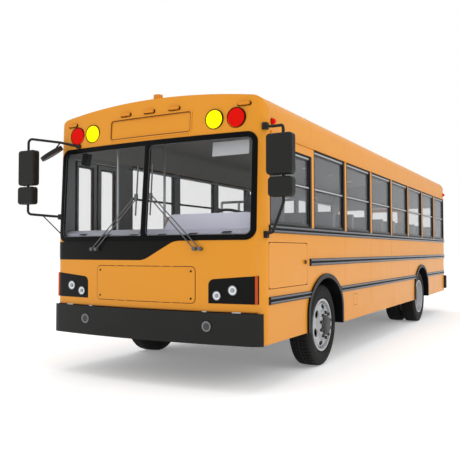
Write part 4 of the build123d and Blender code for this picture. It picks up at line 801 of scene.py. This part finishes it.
# Headliner under the roof, two rows of round ceiling lamps and a sun visor
linerSizes = {"inset": 53, "start": nose + 200, "end": body["tail"] - 60}
inner = roofLine(linerSizes["inset"])
points = [(x, y, z) for y in (linerSizes["start"], linerSizes["end"]) for x, z in inner]
faces = [[i, i + 1, len(inner) + i + 1, len(inner) + i] for i in range(len(inner) - 1)]
piece("headliner", "bus", [(points, faces)], "liner", smooth=60)
ceilingSizes = {"rows": 6, "start": nose + 1500, "pitch": 1250, "x": 420, "drop": 70}
lights = []
for i in range(ceilingSizes["rows"]):
    for x in (-ceilingSizes["x"], ceilingSizes["x"]):
        seat = (x, ceilingSizes["start"] + i * ceilingSizes["pitch"], body["crown"] - ceilingSizes["drop"])
        lights.append(domed([(0, 60), (-6, 58), (-9, 48)], seat, (0, 0, 1), 32))
piece("ceiling_lamps", "bus", lights, "whiteAndGapLight")
visorSizes = {"left": 697, "right": 1106, "top": 2391, "foot": 2247, "topY": nose + 84, "footY": nose + 68,
              "thick": 8, "sag": 6, "steps": 12}
visorPoints, visorFaces = [], []
for i in range(visorSizes["steps"] + 1):
    x = visorSizes["left"] + (visorSizes["right"] - visorSizes["left"]) * i / visorSizes["steps"]
    footY = visorSizes["footY"] - visorSizes["sag"] * sin(pi * i / visorSizes["steps"])
    visorPoints += [(x, visorSizes["topY"], visorSizes["top"]),
                    (x, visorSizes["topY"] + visorSizes["thick"], visorSizes["top"]),
                    (x, footY + visorSizes["thick"], visorSizes["foot"]), (x, footY, visorSizes["foot"])]
for i in range(visorSizes["steps"]):
    a, b = i * 4, i * 4 + 4
    visorFaces += [[a + j, b + j, b + (j + 1) % 4, a + (j + 1) % 4] for j in range(4)]
visorFaces += [[0, 1, 2, 3], [b + 3, b + 2, b + 1, b]]
piece("sun_visor", "bus", [(visorPoints, visorFaces)], "visorVinyl", bevel=3)


# Openings of the side windows: start, end and top of each
windowSizes = {"postHalf": 66.5, "pane": 988, "rail": 1562, "sill": 1575, "top": 2436, "cabStart": nose + 140,
               "cabTop": 2345, "tailIn": 55}


def windowBays(side):
    size = windowSizes
    starts = [y + size["postHalf"] for y in windowPosts]
    bays = [(y, y + size["pane"], size["top"]) for y in starts]
    bays[-1] = (starts[-1], body["tail"] - size["tailIn"], size["top"])
    if side > 0:
        bays.append((size["cabStart"], windowPosts[0] - size["postHalf"], size["cabTop"]))
    return bays


# Pale bars of the sashes and the rubber round each opening
barSizes = {"sash": 2000, "reach": 7, "topDrop": 30, "inset": 10, "endGap": 8, "depth": 4}
sealSizes = {"front": 52, "rear": 9, "head": 12, "inset": 12, "proud": 1.6, "lap": 5}
bars, seals = [], []
for side, word in sides:
    barIn, sealIn, sealOut = (body["half"] - barSizes["inset"], body["half"] - sealSizes["inset"],
                              body["half"] + sealSizes["proud"])
    for low, high, top in windowBays(side):
        for z in (barSizes["sash"], top - barSizes["topDrop"]):
            bars.append(sideBox(side, barIn, barIn + barSizes["depth"], low + barSizes["endGap"],
                                high - barSizes["endGap"], z - barSizes["reach"], z + barSizes["reach"]))
        reach = min(sealSizes["front"], body["tail"] - 8 - high)
        for y0, y1, z0, z1 in ((low - sealSizes["rear"], low + sealSizes["lap"], windowSizes["rail"], top),
                               (high - sealSizes["lap"], high + reach, windowSizes["rail"], top),
                               (low, high, windowSizes["rail"], windowSizes["sill"] + 4),
                               (low, high, top - sealSizes["head"], top + 2)):
            seals.append(sideBox(side, sealIn, sealOut, y0, y1, z0, z1))
piece("window_bars", "bus", bars, "paleAlloy", bevel=1.5)
piece("window_seals", "bus", seals, "gasketRubber", bevel=0.6)

# Vents in the sloping shelf of the dashboard, along the bow of the nose: black strips of painted shade for
# their openings
dashSizes = {"vents": 6, "ventPitch": 362, "ventHalf": 50, "ventLong": 58, "ventY": nose - 58,
             "shelfY": nose - 120, "shelfZ": 1462.3, "slope": 86 / 270}
vents = []
for i in range(dashSizes["vents"]):
    x = (i - (dashSizes["vents"] - 1) / 2) * dashSizes["ventPitch"]
    y = dashSizes["ventY"] + x * x / (2 * body["lowBow"])
    z = dashSizes["shelfZ"] + (y - dashSizes["shelfY"]) * dashSizes["slope"]
    vents.append(strip([(x - dashSizes["ventHalf"], y, z), (x + dashSizes["ventHalf"], y, z)],
                       dashSizes["ventLong"], 2, [(0, -dashSizes["slope"], 1)] * 2))
piece("dash_vents", "bus", vents, "darkHole", bevel=0.8)
print("seams and cab")

# Small dark mirror over the service door, on a bent arm from the header
cabMirror = {"at": (-1004, nose + 150, 2351), "size": (98, 52, 138), "lean": -0.25,
             "arm": (-1120, nose + 175, 2440), "armRadius": 7, "foot": (26, 18, 6, 60)}
middle, half, lean = Vector(cabMirror["at"]), Vector(cabMirror["size"]) / 2, cabMirror["lean"]
cornersLevel, boxFaces = boxed(-half, half)
housing = ([(x * cos(lean) - z * sin(lean) + middle.x, y + middle.y, x * sin(lean) + z * cos(lean) + middle.z)
            for x, y, z in cornersLevel], boxFaces)
armStart, armEnd = Vector(cabMirror["arm"]), middle + Vector((-30, 0, 55))
armRadius, (footX, footY, footLow, footHigh) = cabMirror["armRadius"], cabMirror["foot"]
arm = domed([(0, armRadius), ((armEnd - armStart).length, armRadius)], armStart, armEnd - armStart, 14)
foot = boxed(armStart - Vector((footX, footY, footLow)), armStart + Vector((footX, footY, footHigh)))
piece("cab_mirror", "bus", [housing, arm, foot], "gasketRubber", bevel=6)

# Mirror glasses on the rear faces of the housings
mirrorSizes = {"y": nose - 107, "margin": 14, "corner": 24, "edge": ((0, 0.2), (-1, 1.6), (-4, 2.0)),
               "steps": 32}
# Middle, bottom, top and width of each head
glasses = {"left": ((1531, 1997, 2367, 256), (1540, 1799, 1978, 238)),
           "right": ((-1604, 2062, 2461, 250), (-1617, 1848, 2047, 238))}
for word, heads in glasses.items():
    parts = []
    steps, corner = mirrorSizes["steps"], mirrorSizes["corner"]
    for middle, low, high, width in heads:
        reachX = width / 2 - mirrorSizes["margin"] - corner
        reachZ = (high - low) / 2 - mirrorSizes["margin"] - corner
        points = []
        for grow, out in mirrorSizes["edge"]:
            for i in range(steps):
                turn = 2 * pi * i / steps
                points.append((middle + (reachX if cos(turn) > 0 else -reachX) + (corner + grow) * cos(turn),
                               mirrorSizes["y"] + out,
                               (low + high) / 2 + (reachZ if sin(turn) > 0 else -reachZ)
                               + (corner + grow) * sin(turn)))
        parts.append((points, ringFaces(3, steps) + [[2 * steps + i for i in range(steps)]]))
    piece(f"{word}_mirror_glass", "bus", parts, "mirrorFace")

# Service door: rubbers on the meeting edges and panes, dark reveals and a lining on each leaf
doorSizes = {"x": -1292, "front": nose + 232, "rear": nose + 1003, "width": 376, "low": 460, "high": 2370,
             "paneNear": 58, "paneFar": 318, "panes": ((620, 1390), (1500, 2310)), "corner": 30,
             "rubber": (16, 3), "liningIn": 40, "lining": 1.6, "liningLow": 470, "liningHigh": 2365,
             "stile": 50, "clear": 6,
             "crossRails": ((470, 612), (1398, 1492), (2318, 2365)), "reveal": 3}
for word, sign in (("front", -1), ("rear", 1)):
    size = doorSizes
    outX, liningX = size["x"], size["x"] + size["liningIn"]
    hinge, meeting = size[word], size[word] - sign * size["width"]
    y0, y1 = sorted((meeting + sign * 22, meeting + sign * 2))
    near, far = sorted((hinge - sign * size["paneNear"], hinge - sign * size["paneFar"]))
    rubbers = [boxed((outX - 3, y0, size["low"]), (outX + 1, y1, size["high"]))]
    stileIn, stileOut = size["clear"], size["stile"]
    places = [(near - stileOut, near - stileIn, size["liningLow"], size["liningHigh"]),
              (far + stileIn, far + stileOut, size["liningLow"], size["liningHigh"])]
    places += [(near - stileIn, far + stileIn, z0, z1) for z0, z1 in size["crossRails"]]
    lining = [boxed((liningX, y0, z0), (liningX + size["lining"], y1, z1)) for y0, y1, z0, z1 in places]
    reveals = []
    for low, high in size["panes"]:
        turn, thick = size["corner"], size["reveal"]
        corners = [(near + turn, low), (far - turn, low), (far, low + turn), (far, high - turn),
                   (far - turn, high), (near + turn, high), (near, high - turn), (near, low + turn),
                   (near + turn, low), (far - turn, low)]
        rubbers.append(strip([(outX, y, z) for y, z in corners], *size["rubber"],
                             [(-1, 0, 0)] * len(corners)))
        reveals += [boxed((outX + 9, y0, z0), (liningX + 1, y1, z1)) for y0, y1, z0, z1 in
                    ((near, near + thick, low, high), (far - thick, far, low, high),
                     (near, far, low, low + thick), (near, far, high - thick, high))]
    y0, y1 = sorted((hinge - sign * 2, hinge - sign * 30))
    reveals.append(boxed((liningX, y0, size["liningLow"]), (liningX + 6, y1, size["liningHigh"])))
    piece(f"door_{word}_edges", f"{word}_door_leaf", reveals, "gasketRubber")
    piece(f"door_{word}_lining", f"{word}_door_leaf", lining, "liner")
    piece(f"door_{word}_seals", f"{word}_door_leaf", rubbers, "gasketRubber")

# Ribbed yellow nosings on the edges of the entrance steps
stepSizes = {"edges": ((-1245, 500), (-960, 700), (-640, 900)), "ribs": 4, "first": 3, "rib": 6, "pitch": 9,
             "start": nose + 240, "end": nose + 1000, "proud": 2.2}
nosings = []
for x, z in stepSizes["edges"]:
    for k in range(stepSizes["ribs"]):
        low = x + stepSizes["first"] + k * stepSizes["pitch"]
        nosings.append(boxed((low, stepSizes["start"], z + 0.2),
                             (low + stepSizes["rib"], stepSizes["end"], z + stepSizes["proud"])))
piece("step_nosings", "bus", nosings, "stepEdge", bevel=0.6)

# Knob of the hatch, ends of the rear bumper and the emergency door's handle
knobSizes = {"x": body["half"] + 8, "y": nose + 980, "z": 1198, "grip": (4, 11.5, 18, 4)}
low, high, gripY, gripZ = knobSizes["grip"]
seat = Vector((knobSizes["x"], knobSizes["y"], knobSizes["z"]))
knob = [domed([(0, 22), (4, 25), (9, 25), (11, 20)], seat, (1, 0, 0), 28),
        boxed(seat + Vector((low, -gripY, -gripZ)), seat + Vector((high, gripY, gripZ)))]
piece("hatch_knob", "hatch", knob, "gasketRubber", bevel=1.2)
bumperEnd = {"near": 1262, "far": 1338, "start": body["tail"] - 60, "end": body["tail"] + 70,
             "low": 494, "high": 776}
ends = [sideBox(side, *bumperEnd.values()) for side, word in sides]
piece("rear_bumper_ends", "bus", ends, "blackTrim", bevel=14)
handleBoxes = (  # across, behind the tail, height: plate, bar and its root
    ((120, 270), (-3, 5), (1545, 1585)),
    ((150, 262), (16, 28), (1556, 1574)),
    ((150, 168), (4, 18), (1556, 1574)),
)
handle = [boxed((x0, body["tail"] + y0, z0), (x1, body["tail"] + y1, z1))
          for (x0, x1), (y0, y1), (z0, z1) in handleBoxes]
piece("emergency_handle", "exit_door", handle, "gasketRubber", bevel=3)

# Battery boxes: ribs on the outer faces and bolts at the corners
batterySizes = {"boxes": 3, "x": 1190, "start": nose + 2400, "pitch": 1200, "ribs": 7, "firstRib": 110,
                "ribPitch": 143, "ribWidth": 26, "ribProud": 5, "ribLow": 500, "ribHigh": 755,
                "boltY": (40, 1040), "boltZ": (495, 760), "bolt": (8, 7)}
batteryRibs, batteryBolts = [], []
for side, word in sides:
    size = batterySizes
    for i in range(size["boxes"]):
        start = size["start"] + size["pitch"] * i
        for k in range(size["ribs"]):
            y = start + size["firstRib"] + k * size["ribPitch"]
            batteryRibs.append(sideBox(side, size["x"], size["x"] + size["ribProud"], y, y + size["ribWidth"],
                                       size["ribLow"], size["ribHigh"]))
        for y in size["boltY"]:
            for z in size["boltZ"]:
                batteryBolts += hexHead((side * size["x"], start + y, z), (side, 0, 0), *size["bolt"])
piece("battery_ribs", "bus", batteryRibs, "batteryCase", bevel=1.5)
piece("battery_bolts", "bus", batteryBolts, "zinc")
print("doors and batteries")

# Studio: pale floor, white surround and soft lights
studioSizes = {"half": 90, "near": 4, "far": 15, "nearGlow": 0.21, "glow": 0.6}  # metres; glow grows outward
floorMesh = bpy.data.meshes.new("studio_floor")
half = studioSizes["half"]
floorMesh.from_pydata([(-half, -half, 0), (half, -half, 0), (half, half, 0), (-half, half, 0)], [],
                      [[0, 1, 2, 3]])
# Matt floor, near white, with painted light: a faint glow near the bus keeps the shadow under it soft and
# light
floorLook = material("studio floor pale", "FAFAFA", 0.9)
floorTree = floorLook.node_tree
spot = addNode(floorTree, "ShaderNodeTexCoord")
away = addNode(floorTree, "ShaderNodeVectorMath", {"operation": "LENGTH"})
floorTree.links.new(spot.outputs["Object"], away.inputs[0])
glow = addNode(floorTree, "ShaderNodeMapRange",
               {"interpolation_type": "SMOOTHSTEP", "From Min": studioSizes["near"],
                "From Max": studioSizes["far"], "To Min": studioSizes["nearGlow"],
                "To Max": studioSizes["glow"]}, {"Value": away.outputs["Value"]})
floorTree.nodes["Principled BSDF"].inputs["Emission Color"].default_value = (1, 1, 1, 1)
floorTree.links.new(glow.outputs["Result"], floorTree.nodes["Principled BSDF"].inputs["Emission Strength"])
floorMesh.materials.append(floorLook)
floorObject = bpy.data.objects.new("studio_floor", floorMesh)
bpy.context.scene.collection.objects.link(floorObject)

world = bpy.data.worlds.new("surround")
bpy.context.scene.world = world
world.use_nodes = True
worldSizes = {"seen": 1.0, "lighting": 0.9}
rays = addNode(world.node_tree, "ShaderNodeLightPath")
level = addNode(world.node_tree, "ShaderNodeMapRange",
                {"To Min": worldSizes["lighting"], "To Max": worldSizes["seen"]},
                {"Value": rays.outputs["Is Camera Ray"]})
background = world.node_tree.nodes["Background"]
background.inputs["Color"].default_value = (1, 1, 1, 1)
world.node_tree.links.new(level.outputs["Result"], background.inputs["Strength"])

lightTable = (  # name, place, aim, size, watts; metres
    ("key", (12, -5, 9), (0.8, -1, 1.2), 7, 265),
    ("top", (0, -2, 11), (0, 0, 0), 9, 330),
    ("front", (-6, -13, 6), (0, -4, 1.4), 6, 40),
)
for name, place, aim, size, watts in lightTable:
    light = bpy.data.lights.new(name, "AREA")
    light.size = size
    light.energy = watts
    made = bpy.data.objects.new(name, light)
    made.location = place
    made.rotation_euler = (Vector(aim) - Vector(place)).to_track_quat("-Z", "Y").to_euler()
    bpy.context.scene.collection.objects.link(made)

cameraSizes = {"lens": 48.26, "sensor": 36, "place": (3.797, -9.578, 1.318), "turn": (91.936, 0.09, 29.116)}
camera = bpy.data.cameras.new("camera")
camera.lens = cameraSizes["lens"]
camera.sensor_width = cameraSizes["sensor"]
cameraObject = bpy.data.objects.new("camera", camera)
cameraObject.location = cameraSizes["place"]
cameraObject.rotation_euler = [radians(turn) for turn in cameraSizes["turn"]]
bpy.context.scene.collection.objects.link(cameraObject)
bpy.context.scene.camera = cameraObject
bpy.context.scene.view_settings.view_transform = "Standard"
print("studio")
